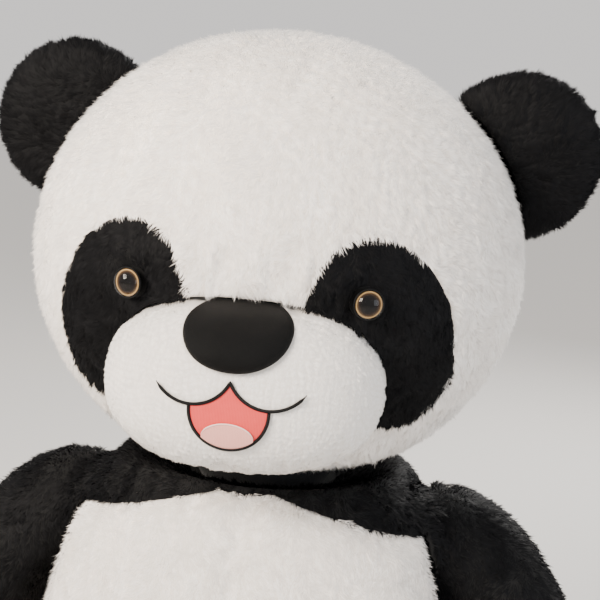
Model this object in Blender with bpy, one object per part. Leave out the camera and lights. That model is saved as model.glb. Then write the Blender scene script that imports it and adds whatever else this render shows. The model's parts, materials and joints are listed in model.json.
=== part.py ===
"""Sitting plush panda, built of the panels, fillings and safety eyes that it is sewn from.

Metres, +Z up. The panda faces -Y and sits on z = 0, and its own left side is +X. The origin is the
middle of the seat panel. Forms are superellipsoids and lofted limbs; a fabric piece is the shell
between a form and the same form made smaller, cut where the real piece is seamed or open.
"""

import fnmatch
import math

import bmesh
import bpy
import numpy as np
from mathutils import Matrix, Vector

# Fabric, gaps and clearances
PLUSH = 0.005  # long plush with its pile pressed flat
FELT = 0.003  # smooth short plush of the muzzle and the nose
APPLIQUE = 0.0012  # satin of the mouth
GAP = 0.0004  # between two sewn neighbours
LOOSE = 0.0015  # between a filling and its skin
JOINT_CLEARANCE = 0.003  # round a limb's root in its hole
HEAD_CLEARANCE = 0.014  # between the head and the hollow of the shoulders
EAR_CLEARANCE = 0.005
LEG_CLEARANCE = 0.006  # wide enough for the flats of the leg's room
LEG_LIFT = math.radians(15)  # how far a leg lifts before it meets the belly

# Torso
TORSO_HEIGHT = 0.395
TORSO_BURIED = 0.045  # part of the form that the flat seat cuts off
HIP_WIDTH = 0.410
HIP_DEPTH = 0.350
SHOULDER_WIDTH = 0.372
SHOULDER_DEPTH = 0.300
TORSO_POWER = 3.0  # roundness from seat to neck, where 2 is an ellipse
TORSO_SECTION = 2.3  # roundness of a level cut
YOKE_PEAK_Z = 0.371
YOKE_CORNER = (0.150, 0.326)
YOKE_EDGE = (0.174, 0.258)
YOKE_BACK_Z = 0.205

# Head, relative to its own centre
HEAD_WIDTH = 0.420
HEAD_DEPTH = 0.376
HEAD_HEIGHT = 0.385
HEAD_SINK = 0.0425  # how far the chin sits below the top of the torso's form
HEAD_SEAM_Y = 0.030
PATCH_CENTRE = (0.100, -0.036)
PATCH_RADII = (0.055, 0.078)
PATCH_TILT = math.radians(12)

# Muzzle, nose and mouth, relative to the head's centre
MUZZLE_CENTRE = (0.0, -0.130, -0.073)
MUZZLE_RADII = (0.111, 0.092, 0.077)
MUZZLE_SECTION = 2.4
NOSE_Z = -0.039
NOSE_RADII = (0.042, 0.0285, 0.021)
NOSE_SET_BACK = 0.008
NOSE_TAPER = 0.16
LIP_RADIUS = 0.032
LIP_MIDDLE_X = 0.029
LIP_LOW_Z = -0.0835
SMILE_HALF_WIDTH = 0.055
MOUTH_HALF_WIDTH = 0.0295
MOUTH_DEPTH = 0.0325
TONGUE_PEAK = 0.0205  # above the lowest point of the mouth
TONGUE_SHOULDER = 0.011
THREAD_RADIUS = 0.0012

# Eyes
EYE_X = 0.0903
EYE_Z = -0.0077
EYE_RADIUS = 0.0108
EYE_DOME = 0.0078
EYE_DISC = 0.0012
EYE_STEM_RADIUS = 0.0032
EYE_STEM_LENGTH = 0.018
WASHER_RADIUS = 0.0125
WASHER_THICKNESS = 0.0016

# Ears, relative to the head's centre
EAR_CENTRE = (0.199, 0.055, 0.102)
EAR_RADIUS = 0.076
EAR_THICKNESS = 0.052

# Neck
NECK_RISE = 0.0325  # its ball's centre above the lowest point of the head
NECK_BALL = 0.066
NECK_STEM = 0.052
NECK_FOOT = 0.105  # from the ball's centre down to the end of the stem

# Arms
SHOULDER = (0.165, 0.0, 0.306)
ARM_BEND = (0.244, 0.004, 0.268)
PAW = (0.264, -0.034, 0.118)
ARM_RADIUS = 0.055
PAW_RADIUS = 0.053
ARMHOLE_INSET = 0.030  # the armhole's plane, inwards from the shoulder's centre

# Legs
HIP_X = 0.104
HIP_Y = -0.132
LEG_RADIUS = 0.068
FOOT_X = 0.150
FOOT_Y = -0.312
FOOT_WIDTH = 0.136
FOOT_HEIGHT = 0.160
SOLE_BULGE = 0.20  # how far the foot's end bulges, as a share of its radius
LEGHOLE_INSET = 0.020

# Tail, label and closing seam
TAIL_Z = 0.078
TAIL_RADIUS = 0.038
LABEL_SIZE = (0.0008, 0.030, 0.042)
LABEL_X = 0.085
LABEL_Z = 0.030
SEAM_LOW_Z = 0.124
SEAM_HIGH_Z = 0.196
SEAM_STITCH = 0.008
SEAM_HALF_WIDTH = 0.004

HEAD_Z = TORSO_HEIGHT - HEAD_SINK + HEAD_HEIGHT / 2
HEAD = Vector((0.0, 0.0, HEAD_Z))
NECK_Z = TORSO_HEIGHT - HEAD_SINK + NECK_RISE
NECK = Vector((0.0, 0.0, NECK_Z))
LEG_Z = LEG_RADIUS
SIDES = {"left": 1, "right": -1}
FAR = 1.0  # longer than anything that it cuts
INNER_GRID = (9, 20)  # rows and columns of the forms inside a skin, which nobody sees

COLOURS = {
    "white_plush": ((0.80, 0.76, 0.71), 0.9, 0.0),
    "black_plush": ((0.010, 0.010, 0.012), 0.9, 0.0),
    "muzzle_plush": ((0.82, 0.75, 0.69), 0.85, 0.0),
    "nose_velour": ((0.012, 0.011, 0.012), 0.8, 0.0),
    "mouth_satin": ((0.83, 0.13, 0.12), 0.6, 0.0),
    "tongue_satin": ((0.82, 0.50, 0.40), 0.6, 0.0),
    "black_thread": ((0.010, 0.009, 0.010), 0.5, 0.0),
    "clear_acrylic": ((0.95, 0.95, 0.95), 0.03, 0.0),
    "amber_print": ((0.45, 0.27, 0.08), 0.3, 0.6),
    "black_plastic": ((0.012, 0.012, 0.012), 0.35, 0.0),
    "white_plastic": ((0.75, 0.75, 0.73), 0.4, 0.0),
    "filling": ((0.85, 0.85, 0.84), 0.95, 0.0),
    "label_ribbon": ((0.82, 0.81, 0.78), 0.5, 0.0),
    "white_thread": ((0.80, 0.77, 0.72), 0.6, 0.0),
}


def material(slot):
    """The Principled material of a slot, made the first time it is asked for."""
    if slot in bpy.data.materials:
        return bpy.data.materials[slot]
    colour, roughness, metallic = COLOURS[slot]
    made = bpy.data.materials.new(slot)
    made.use_nodes = True
    shader = made.node_tree.nodes["Principled BSDF"]
    shader.inputs["Base Color"].default_value = (*colour, 1.0)
    shader.inputs["Roughness"].default_value = roughness
    shader.inputs["Metallic"].default_value = metallic
    return made


# ---------------------------------------------------------------- forms, as rings of points


def superellipsoid(radii, profile=2.0, section=2.0, rows=15, columns=28):
    """Rings about local +Z from pole to pole: profile and section are its powers, where 2 is round."""
    latitude = np.radians(np.linspace(-90.0, 90.0, rows))[:, None]
    longitude = np.linspace(0.0, 2 * np.pi, columns, endpoint=False)[None, :]
    spread = np.clip(np.cos(latitude), 0.0, 1.0) ** (2 / profile)
    rise = np.sign(np.sin(latitude)) * np.abs(np.sin(latitude)) ** (2 / profile)
    across = np.sign(np.cos(longitude)) * np.abs(np.cos(longitude)) ** (2 / section)
    along = np.sign(np.sin(longitude)) * np.abs(np.sin(longitude)) ** (2 / section)
    ring = [radii[0] * spread * across, radii[1] * spread * along]
    return np.stack([*ring, radii[2] * rise + 0 * longitude], axis=-1)


def placed(grid, centre, matrix=None):
    """A grid of points turned by a matrix and then moved to a centre."""
    facing = grid if matrix is None else grid @ np.array(matrix.to_3x3()).T
    return facing + np.array(centre)


def grown(radii, grow):
    return [radius + grow for radius in radii]


def limb_rings(path, side_radii, up_radii, reference, end_bulge=1.0, columns=16):
    """Rings across a path, with a round dome at its start and one of height end_bulge at its end."""
    path = np.array(path)
    tangents = np.gradient(path, axis=0)
    tangents /= np.linalg.norm(tangents, axis=1)[:, None]
    side = np.cross(tangents, reference)
    side /= np.linalg.norm(side, axis=1)[:, None]
    up = np.cross(side, tangents)
    rows = []
    for angle in np.radians(np.linspace(-90, 0, 5)[:-1]):
        rows.append((0, math.sin(angle), math.cos(angle)))
    rows += [(i, 0.0, 1.0) for i in range(len(path))]
    for angle in np.radians(np.linspace(0, 90, 5)[1:]):
        rows.append((len(path) - 1, math.sin(angle) * end_bulge, math.cos(angle)))
    turn = np.linspace(0.0, 2 * np.pi, columns, endpoint=False)[:, None]
    rings = []
    for i, ahead, spread in rows:
        reach = min(side_radii[i], up_radii[i])
        middle = path[i] + tangents[i] * reach * ahead
        ring = side[i] * np.cos(turn) * side_radii[i] + up[i] * np.sin(turn) * up_radii[i]
        rings.append(middle + ring * max(spread, 0.0))
    return np.array(rings)


def bend_path(start, middle, end, count):
    """Points along the quadratic curve that leaves start towards middle and arrives at end."""
    t = np.linspace(0.0, 1.0, count)[:, None]
    start, middle, end = np.array(start), np.array(middle), np.array(end)
    return (1 - t) ** 2 * start + 2 * t * (1 - t) * middle + t**2 * end


# ---------------------------------------------------------------- meshes and Booleans


def solid(name, grid, slot):
    """A closed object over rings of points. A ring with no size is a pole, and others at the ends are capped."""
    mesh = bmesh.new()
    rings = []
    for row in grid:
        if np.ptp(row, axis=0).max() < 1e-6:
            rings.append([mesh.verts.new(row[0])])
        else:
            rings.append([mesh.verts.new(point) for point in row])
    for low, high in zip(rings, rings[1:]):
        count = max(len(low), len(high))
        for i in range(count):
            j = (i + 1) % count
            corners = [low[i % len(low)], low[j % len(low)], high[j % len(high)], high[i % len(high)]]
            mesh.faces.new(dict.fromkeys(corners))
    for ring in (rings[0], rings[-1]):
        if len(ring) > 1:
            mesh.faces.new(ring)
    return finished(name, mesh, slot)


def prism(name, outline, slot="filling", low=-FAR, high=FAR):
    """A closed object of an outline in X and Z, from y = low to y = high."""
    mesh = bmesh.new()
    face = mesh.faces.new([mesh.verts.new((x, low, z)) for x, z in outline])
    moved = bmesh.ops.extrude_face_region(mesh, geom=[face])["geom"]
    points = [v for v in moved if isinstance(v, bmesh.types.BMVert)]
    bmesh.ops.translate(mesh, verts=points, vec=(0, high - low, 0))
    return finished(name, mesh, slot)


def block(name, low, high, slot="filling"):
    """A box between two corners."""
    mesh = bmesh.new()
    middle = (Vector(low) + Vector(high)) / 2
    size = Vector(high) - Vector(low)
    matrix = Matrix.Translation(middle) @ Matrix.Diagonal((*size, 1.0))
    bmesh.ops.create_cube(mesh, size=1.0, matrix=matrix)
    return finished(name, mesh, slot)


def turned(name, profile, slot, columns=20, frame=None):
    """A closed object turned about local Z from (radius, height) points, which start and end on the axis."""
    angle = np.linspace(0.0, 2 * np.pi, columns, endpoint=False)
    rings = [
        np.stack([r * np.cos(angle), r * np.sin(angle), np.full(columns, z)], axis=-1)
        for r, z in profile
    ]
    grid = np.array(rings)
    if frame is not None:
        grid = placed(grid, frame.translation, frame)
    return solid(name, grid, slot)


def thread(name, points, slot, radius=THREAD_RADIUS):
    """A round thread along points."""
    curve = bpy.data.curves.new(name, "CURVE")
    curve.dimensions = "3D"
    curve.bevel_depth = radius
    curve.bevel_resolution = 1
    curve.use_fill_caps = True
    spline = curve.splines.new("POLY")
    spline.points.add(len(points) - 1)
    for spot, point in zip(spline.points, points):
        spot.co = (*point, 1.0)
    made = bpy.data.objects.new(name, curve)
    bpy.context.scene.collection.objects.link(made)
    curve.materials.append(material(slot))
    return made


def finished(name, mesh, slot):
    """The object of a bmesh, with its faces turned outwards and shaded smooth."""
    bmesh.ops.recalc_face_normals(mesh, faces=mesh.faces)
    data = bpy.data.meshes.new(name)
    mesh.to_mesh(data)
    mesh.free()
    data.shade_smooth()
    data.set_sharp_from_angle(angle=math.radians(40))
    data.materials.append(material(slot))
    made = bpy.data.objects.new(name, data)
    bpy.context.scene.collection.objects.link(made)
    return made


def helper(made):
    """Marks an object as a cutter."""
    made.hide_render = True
    made.display_type = "WIRE"
    return made


def boolean(target, others, operation="DIFFERENCE"):
    for other in others:
        step = target.modifiers.new(f"{operation.lower()} {other.name}", "BOOLEAN")
        step.operation = operation
        step.solver = "EXACT"
        step.object = other
    return target


def cut(target, *others):
    return boolean(target, others)


def keep(target, *others):
    return boolean(target, others, "INTERSECT")


# ---------------------------------------------------------------- the forms of this panda


def head_form(name, grow=0.0, slot="white_plush", rows=13, columns=30):
    radii = grown((HEAD_WIDTH / 2, HEAD_DEPTH / 2, HEAD_HEIGHT / 2), grow)
    return solid(name, placed(superellipsoid(radii, rows=rows, columns=columns), HEAD), slot)


def facing_front():
    """Turns local +Z to the front, -Y, and local +Y to +Z."""
    return Matrix(((1, 0, 0), (0, 0, -1), (0, 1, 0)))


def muzzle_form(name, grow=0.0, slot="muzzle_plush", rows=11, columns=22):
    across, ahead, up = grown(MUZZLE_RADII, grow)
    grid = superellipsoid((across, up, ahead), 2.0, MUZZLE_SECTION, rows, columns)
    return solid(name, placed(grid, HEAD + Vector(MUZZLE_CENTRE), facing_front()), slot)


def muzzle_point(x, z, lift):
    """The point of the muzzle's surface at x and z from the head's centre, lifted off it."""
    across, ahead, up = grown(MUZZLE_RADII, lift)
    section = abs(x / across) ** MUZZLE_SECTION + abs((z - MUZZLE_CENTRE[2]) / up) ** MUZZLE_SECTION
    depth = ahead * math.sqrt(max(1.0 - section ** (2 / MUZZLE_SECTION), 0.0))
    return HEAD + Vector((x, MUZZLE_CENTRE[1] - depth, z))


def nose_form(name, grow=0.0, slot="nose_velour"):
    """A cushion on the muzzle, narrower towards its lower edge."""
    across, up, ahead = grown(NOSE_RADII, grow)
    grid = superellipsoid((across, up, ahead), 2.4, 2.2, 9, 16)
    grid[..., 0] *= 1 + NOSE_TAPER * grid[..., 1] / up
    seat = muzzle_point(0.0, NOSE_Z, -NOSE_SET_BACK)
    return solid(name, placed(grid, seat, facing_front()), slot)


def torso_form(name, grow=0.0, slot="white_plush", rows=13, columns=26):
    """A rounded block, wider at the hips than at the shoulders, whose foot lies below the seat."""
    half = (TORSO_HEIGHT + TORSO_BURIED) / 2
    grid = superellipsoid((1.0, 1.0, 1.0), TORSO_POWER, TORSO_SECTION, rows, columns)
    share = (grid[..., 2] + 1) / 2
    wide = HIP_WIDTH + (SHOULDER_WIDTH - HIP_WIDTH) * share
    deep = HIP_DEPTH + (SHOULDER_DEPTH - HIP_DEPTH) * share
    grid[..., 0] *= wide / 2 + grow
    grid[..., 1] *= deep / 2 + grow
    grid[..., 2] = grid[..., 2] * (half + grow) + half - TORSO_BURIED
    return solid(name, grid, slot)


def neck_form(name, grow=0.0, slot="black_plush"):
    """A ball for the head to nod on, over a round stem that turns in the torso."""
    ball, stem = NECK_BALL + grow, NECK_STEM + grow
    joins = math.asin(stem / ball)
    angles = np.linspace(0.0, math.pi - joins, 8)
    profile = [(ball * math.sin(a), NECK_Z + ball * math.cos(a)) for a in angles]
    foot = NECK_Z - NECK_FOOT - grow
    return turned(name, [*profile, (stem, foot), (0.0, foot)], slot, 18)


def ear_form(name, side, grow=0.0, slot="black_plush"):
    thick, radius = EAR_THICKNESS / 2 + grow, EAR_RADIUS + grow
    grid = superellipsoid((radius, radius, thick), 2.3, 2.0, 7, 18)
    centre = HEAD + Vector((side * EAR_CENTRE[0], EAR_CENTRE[1], EAR_CENTRE[2]))
    return solid(name, placed(grid, centre, facing_front()), slot)


def arm_form(name, side, grow=0.0, slot="black_plush", columns=14):
    mirror = np.array((side, 1, 1))
    path = bend_path(SHOULDER, ARM_BEND, PAW, 5) * mirror
    radii = np.linspace(ARM_RADIUS, PAW_RADIUS, len(path)) + grow
    return solid(name, limb_rings(path, radii, radii, (0, 1, 0), 1.0, columns), slot)


def leg_form(name, side, grow=0.0, slot="black_plush", columns=14):
    """A thigh with a ball at the hip, widening into a foot whose end is nearly flat."""
    hip = np.array((side * HIP_X, HIP_Y, LEG_Z))
    foot = np.array((side * FOOT_X, FOOT_Y, FOOT_HEIGHT / 2))
    share = np.linspace(0.0, 1.0, 4)[:, None]
    path = hip + (foot - hip) * share
    swell = share[:, 0] ** 2
    side_radii = LEG_RADIUS + (FOOT_WIDTH / 2 - LEG_RADIUS) * swell + grow
    up_radii = path[:, 2] + grow
    return solid(name, limb_rings(path, side_radii, up_radii, (0, 0, 1), SOLE_BULGE, columns), slot)


def oval(centre, radii, tilt=0.0, grow=0.0, count=28):
    """Points (x, z) round an ellipse that leans by tilt, top towards -X."""
    points = []
    for i in range(count):
        angle = 2 * math.pi * i / count
        u, w = (radii[0] + grow) * math.cos(angle), (radii[1] + grow) * math.sin(angle)
        x = u * math.cos(tilt) - w * math.sin(tilt)
        z = u * math.sin(tilt) + w * math.cos(tilt)
        points.append((centre[0] + x, centre[1] + z))
    return points


# ---------------------------------------------------------------- head


def patch_prism(name, side, grow):
    """The front half of an upright prism over an eye patch's outline."""
    outline = oval(PATCH_CENTRE, PATCH_RADII, PATCH_TILT, grow)
    moved = [(side * x, z + HEAD_Z) for x, z in outline]
    return helper(prism(name, moved, low=-FAR, high=0.0))


def eye_frame(side):
    """The eye's place on the head: local +Z is the surface's normal and local 0 lies on the surface."""
    half = Vector((HEAD_WIDTH / 2, HEAD_DEPTH / 2, HEAD_HEIGHT / 2))
    depth = half.y * math.sqrt(1 - (EYE_X / half.x) ** 2 - (EYE_Z / half.z) ** 2)
    spot = Vector((side * EYE_X, -depth, EYE_Z))
    normal = Vector((spot.x / half.x**2, spot.y / half.y**2, spot.z / half.z**2)).normalized()
    frame = normal.to_track_quat("Z", "Y").to_matrix().to_4x4()
    frame.translation = HEAD + spot
    return frame


def disc_profile(radius, low, high):
    return [(0.0, low), (radius, low), (radius, high), (0.0, high)]


def make_eye(side_name, side):
    """Domed lens, printed iris, stem with its flange, and the washer that locks it inside the head."""
    frame = eye_frame(side)
    flange_low = GAP
    iris_low = flange_low + EYE_DISC + GAP
    lens_low = iris_low + EYE_DISC / 2 + GAP
    dome = [
        (EYE_RADIUS * math.cos(a), lens_low + EYE_DOME * math.sin(a))
        for a in np.linspace(0.0, math.pi / 2, 5)
    ]
    stem = [
        (0.0, -EYE_STEM_LENGTH),
        (EYE_STEM_RADIUS, -EYE_STEM_LENGTH),
        (EYE_STEM_RADIUS, flange_low),
        (EYE_RADIUS, flange_low),
        (EYE_RADIUS, flange_low + EYE_DISC),
        (0.0, flange_low + EYE_DISC),
    ]
    washer_high = -PLUSH - GAP
    bore = EYE_STEM_RADIUS + GAP
    turned(f"eye_stem_{side_name}", stem, "black_plastic", 14, frame)
    iris = disc_profile(EYE_RADIUS, iris_low, iris_low + EYE_DISC / 2)
    turned(f"eye_iris_{side_name}", iris, "amber_print", 16, frame)
    turned(f"eye_lens_{side_name}", [(0.0, lens_low), *dome[:-1], (0.0, dome[-1][1])],
           "clear_acrylic", 16, frame)
    washer = turned(
        f"eye_washer_{side_name}",
        disc_profile(WASHER_RADIUS, washer_high - WASHER_THICKNESS, washer_high),
        "white_plastic", 16, frame,
    )
    hole = helper(turned(f"stem_hole_{side_name}", disc_profile(bore, -FAR / 10, FAR / 10),
                         "filling", 10, frame))
    cut(washer, hole)
    pocket = disc_profile(WASHER_RADIUS + LOOSE, -EYE_STEM_LENGTH - LOOSE, -PLUSH)
    return hole, helper(turned(f"eye_pocket_{side_name}", pocket, "filling", 14, frame))


def make_head():
    """The white face and back, the black patches, the muzzle with nose and mouth, and the eyes."""
    inner = helper(head_form("head_inner", -PLUSH, "filling", *INNER_GRID))
    socket = helper(neck_form("neck_socket", JOINT_CLEARANCE))
    muzzle_hole = helper(muzzle_form("muzzle_hole", GAP))
    behind = helper(block("behind_head_seam", (-FAR, HEAD_SEAM_Y, 0), (FAR, FAR, FAR)))
    ahead = helper(block("before_head_seam", (-FAR, -FAR, 0), (FAR, HEAD_SEAM_Y + GAP, FAR)))

    face = cut(head_form("head_front_skin"), inner, behind, socket, muzzle_hole)
    cut(head_form("head_back_skin"), inner, ahead, socket)
    stuffing = head_form("head_stuffing", -PLUSH - LOOSE, "filling", *INNER_GRID)
    cut(stuffing, socket)
    for name, side in SIDES.items():
        cut(face, patch_prism(f"patch_hole_{name}", side, GAP))
        patch = head_form(f"eye_patch_{name}", 0.0, "black_plush")
        keep(patch, patch_prism(f"patch_outline_{name}", side, 0.0))
        cut(patch, inner, muzzle_hole)
        hole, pocket = make_eye(name, side)
        cut(patch, hole, pocket)
        cut(stuffing, pocket)
    make_muzzle(inner)


def make_muzzle(seat):
    """Smooth muzzle with its filling, the padded nose, and the appliqued mouth with its threads."""
    inner = helper(muzzle_form("muzzle_inner", -FELT, "filling", 9, 20))
    cut(muzzle_form("muzzle_skin"), inner, seat)
    cut(muzzle_form("muzzle_stuffing", -FELT - LOOSE, "filling", 9, 20), seat)

    nose_seat = helper(muzzle_form("nose_seat", GAP))
    nose_inner = helper(nose_form("nose_inner", -FELT))
    cut(nose_form("nose_cover"), nose_inner, nose_seat)
    cut(nose_form("nose_padding", -FELT - LOOSE, "filling"), nose_seat)

    lining_low, lining_high = GAP, GAP + APPLIQUE
    tongue_low, tongue_high = lining_high + GAP, lining_high + GAP + APPLIQUE
    layer("mouth_lining", mouth_outline(), lining_low, lining_high, "mouth_satin")
    layer("tongue_applique", tongue_outline(), tongue_low, tongue_high, "tongue_satin")
    lift = tongue_high + THREAD_RADIUS + GAP
    thread("upper_lip_thread", [muzzle_point(x, z, lift) for x, z in smile_points()], "black_thread")
    thread("lower_lip_thread", [muzzle_point(x, z, lift) for x, z in lower_lip_points()], "black_thread")


def layer(name, outline, low, high, slot):
    """A thin piece that lies on the muzzle, between two lifts off it."""
    piece = muzzle_form(name, high, slot)
    keep(piece, helper(prism(f"{name}_outline", [(x, z + HEAD_Z) for x, z in outline],
                             low=-FAR, high=HEAD.y + MUZZLE_CENTRE[1])))
    return cut(piece, helper(muzzle_form(f"{name}_bed", low)))


def smile_height(x):
    """The upper lip: an arc on each side that meets its twin in a point under the nose."""
    middle = LIP_LOW_Z + LIP_RADIUS
    return middle - math.sqrt(LIP_RADIUS**2 - (abs(x) - LIP_MIDDLE_X) ** 2)


def smile_points(count=21):
    return [(x, smile_height(x)) for x in np.linspace(-SMILE_HALF_WIDTH, SMILE_HALF_WIDTH, count)]


def lower_lip_points(count=15, inset=0.0):
    """The lower lip, a half ellipse that hangs from the lowest points of the smile."""
    below = 2 * THREAD_RADIUS + GAP
    points = []
    for angle in np.linspace(math.pi, 2 * math.pi, count):
        x = (MOUTH_HALF_WIDTH - inset) * math.cos(angle)
        z = LIP_LOW_Z - below + (MOUTH_DEPTH - below - inset) * math.sin(angle)
        points.append((x, z))
    return points


def mouth_outline():
    top = [(x, smile_height(x)) for x in np.linspace(MOUTH_HALF_WIDTH, -MOUTH_HALF_WIDTH, 13)]
    return top + lower_lip_points()


def tongue_outline():
    """A low arch inside the lower lip."""
    edge = lower_lip_points(29, 2 * THREAD_RADIUS)
    floor = LIP_LOW_Z - MOUTH_DEPTH
    low = [(x, z) for x, z in edge if z < floor + TONGUE_SHOULDER]
    half = max(x for x, _ in low)
    rise = TONGUE_PEAK - TONGUE_SHOULDER
    arch = [
        (half * math.cos(a), floor + TONGUE_SHOULDER + rise * math.sin(a))
        for a in np.linspace(0.0, math.pi, 13)[1:-1]
    ]
    return low + arch


def make_ear(name, side):
    """A front and a back panel over a flat filling, curved at the base to the head."""
    seat = bpy.data.objects.get("ear_seat") or helper(head_form("ear_seat", EAR_CLEARANCE))
    inner = helper(ear_form(f"ear_inner_{name}", side, -PLUSH))
    middle = HEAD.y + EAR_CENTRE[1]
    behind = helper(block(f"ear_behind_{name}", (-FAR, middle, 0), (FAR, FAR, FAR)))
    before = helper(block(f"ear_before_{name}", (-FAR, -FAR, 0), (FAR, middle + GAP, FAR)))
    cut(ear_form(f"ear_front_skin_{name}", side), inner, seat, behind)
    cut(ear_form(f"ear_back_skin_{name}", side), inner, seat, before)
    cut(ear_form(f"ear_stuffing_{name}", side, -PLUSH - LOOSE, "filling"), seat)


# ---------------------------------------------------------------- neck and torso


def make_neck():
    """A black sleeve, open at its foot, over the neck's filling."""
    inner = neck_form("neck_inner", -FELT)
    opening = block("neck_opening", (-FAR, -FAR, 0), (FAR, FAR, NECK_Z - NECK_FOOT + FELT + GAP))
    cut(neck_form("neck_skin"), helper(inner), helper(opening))
    neck_form("neck_stuffing", -FELT - LOOSE, "filling")


def yoke_window():
    """The outline, in X and Z, below which the front of the torso is white."""
    half = [YOKE_CORNER, YOKE_EDGE, (HIP_WIDTH / 2 - 0.003, YOKE_BACK_Z), (FAR, YOKE_BACK_Z)]
    right = [(-x, z) for x, z in reversed(half)]
    return [(-FAR, -FAR), *right, (0.0, YOKE_PEAK_Z), *half, (FAR, -FAR)]


def lowered(outline, amount):
    """The same outline with its upper edge moved down, to leave a gap."""
    return [(x, z - amount if z > 0 else z) for x, z in outline]


def torso_cutters():
    """What the torso makes room for: the head, the neck, the arms and the legs."""
    cutters = [neck_form("neck_hole", JOINT_CLEARANCE)]
    for name, side in SIDES.items():
        cutters.append(arm_room(f"arm_room_{name}", side))
        cutters.append(leg_form(f"leg_room_{name}", side, LEG_CLEARANCE, "filling", 10))
        lifted = leg_form(f"leg_lift_room_{name}", side, LEG_CLEARANCE, "filling", 10)
        hip = Matrix.Translation((side * HIP_X, HIP_Y, LEG_Z))
        lifted.matrix_world = hip @ Matrix.Rotation(-LEG_LIFT, 4, "X") @ hip.inverted()
        cutters.append(lifted)
    return [helper(cutter) for cutter in cutters]


def arm_room(name, side):
    """What an arm sweeps as it swings about X: the ball of its root, then a flare along its inner side."""
    ball = ARM_RADIUS + JOINT_CLEARANCE
    shoulder_x, shoulder_y, shoulder_z = SHOULDER
    path = bend_path(SHOULDER, ARM_BEND, PAW, 5)
    inwards = [Vector((t[2], -t[0])).normalized() * ball for t in np.gradient(path, axis=0)]
    root = math.atan2(-inwards[0].y, -inwards[0].x)
    profile = [
        (ball * math.sin(a), shoulder_x - ball * math.cos(a)) for a in np.linspace(0.0, root, 4)
    ]
    for point, inward in zip(path[1:], inwards[1:]):
        profile.append((shoulder_z - point[2] - inward.y, point[0] + inward.x))
    profile += [(profile[-1][0], FAR), (0.0, FAR)]
    outwards = Matrix(((0, 0, side), (0, 1, 0), (-side, 0, 0))).to_4x4()
    outwards.translation = (0.0, shoulder_y, shoulder_z)
    return turned(name, profile, "filling", 14, outwards)


def make_torso():
    """Black yoke over the shoulders, white belly and back below it, a flat seat, and the filling."""
    hollow = helper(head_form("shoulder_hollow", HEAD_CLEARANCE))
    deeper = helper(head_form("filling_hollow", HEAD_CLEARANCE + PLUSH))
    deepest = helper(head_form("stuffing_hollow", HEAD_CLEARANCE + PLUSH + GAP))
    core = helper(cut(torso_form("torso_core", -PLUSH, "filling", *INNER_GRID), deeper))
    below = helper(block("below_skin", (-FAR, -FAR, -FAR), (FAR, FAR, PLUSH + GAP)))
    below_ground = helper(block("below_ground", (-FAR, -FAR, -FAR), (FAR, FAR, 0.0)))
    above_seat = helper(block("above_seat", (-FAR, -FAR, PLUSH), (FAR, FAR, FAR)))
    cutters = torso_cutters()

    front = helper(prism("front_window", yoke_window(), low=-FAR, high=GAP))
    back_outline = [(-FAR, -FAR), (-FAR, YOKE_BACK_Z), (FAR, YOKE_BACK_Z), (FAR, -FAR)]
    back = helper(prism("back_window", back_outline, low=0.0, high=FAR))
    belly_outline = lowered(yoke_window(), GAP)
    belly_window = helper(prism("belly_window", belly_outline, low=-FAR, high=-GAP))
    rear_window = helper(prism("rear_window", lowered(back_outline, GAP), low=0.0, high=FAR))

    cut(torso_form("yoke_skin", 0.0, "black_plush"), front, back, hollow, core, *cutters)
    cut(keep(torso_form("belly_panel"), belly_window), hollow, core, below, *cutters)
    cut(keep(torso_form("back_panel"), rear_window), hollow, core, below, *cutters)
    cut(torso_form("seat_panel"), below_ground, above_seat, *cutters)
    stuffing = torso_form("torso_stuffing", -PLUSH - LOOSE, "filling", *INNER_GRID)
    cut(stuffing, deepest, below, *cutters)


def torso_back_y(z, x=0.0):
    """How far back the torso's surface reaches at a height and a distance from its centre line."""
    half = (TORSO_HEIGHT + TORSO_BURIED) / 2
    rise = (z - half + TORSO_BURIED) / half
    share = (rise + 1) / 2
    spread = (1 - abs(rise) ** TORSO_POWER) ** (1 / TORSO_POWER)
    wide = (HIP_WIDTH + (SHOULDER_WIDTH - HIP_WIDTH) * share) / 2 * spread
    deep = (HIP_DEPTH + (SHOULDER_DEPTH - HIP_DEPTH) * share) / 2 * spread
    return deep * (1 - abs(x / wide) ** TORSO_SECTION) ** (1 / TORSO_SECTION)


def make_tail_and_trim():
    """A round tail, a blank care label in the seat seam, and the ladder stitch that closes the back."""
    centre = (0.0, torso_back_y(TAIL_Z) + TAIL_RADIUS / 3, TAIL_Z)
    forms = {}
    for name, grow, slot in (
        ("tail_skin", 0.0, "white_plush"),
        ("tail_inner", -PLUSH, "filling"),
        ("tail_stuffing", -PLUSH - LOOSE, "filling"),
    ):
        radius = TAIL_RADIUS + grow
        ball = superellipsoid((radius, radius, radius), rows=7, columns=12)
        forms[name] = solid(name, placed(ball, centre), slot)
    seat = helper(torso_form("tail_seat", GAP))
    cut(forms["tail_skin"], helper(forms["tail_inner"]), seat)
    cut(forms["tail_stuffing"], seat)

    thick, long, tall = LABEL_SIZE
    low = Vector((LABEL_X, torso_back_y(LABEL_Z + long, LABEL_X) + GAP, LABEL_Z))
    block("care_label", low, low + Vector((thick, tall, long)), "label_ribbon")

    points = []
    steps = round((SEAM_HIGH_Z - SEAM_LOW_Z) / SEAM_STITCH)
    for i in range(steps + 1):
        z = SEAM_LOW_Z + i * SEAM_STITCH
        side = SEAM_HALF_WIDTH if i % 2 else -SEAM_HALF_WIDTH
        points.append((side, torso_back_y(z) + THREAD_RADIUS + GAP, z))
    thread("closing_seam", points, "white_thread", THREAD_RADIUS / 2)


# ---------------------------------------------------------------- arms, legs and what moves


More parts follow.
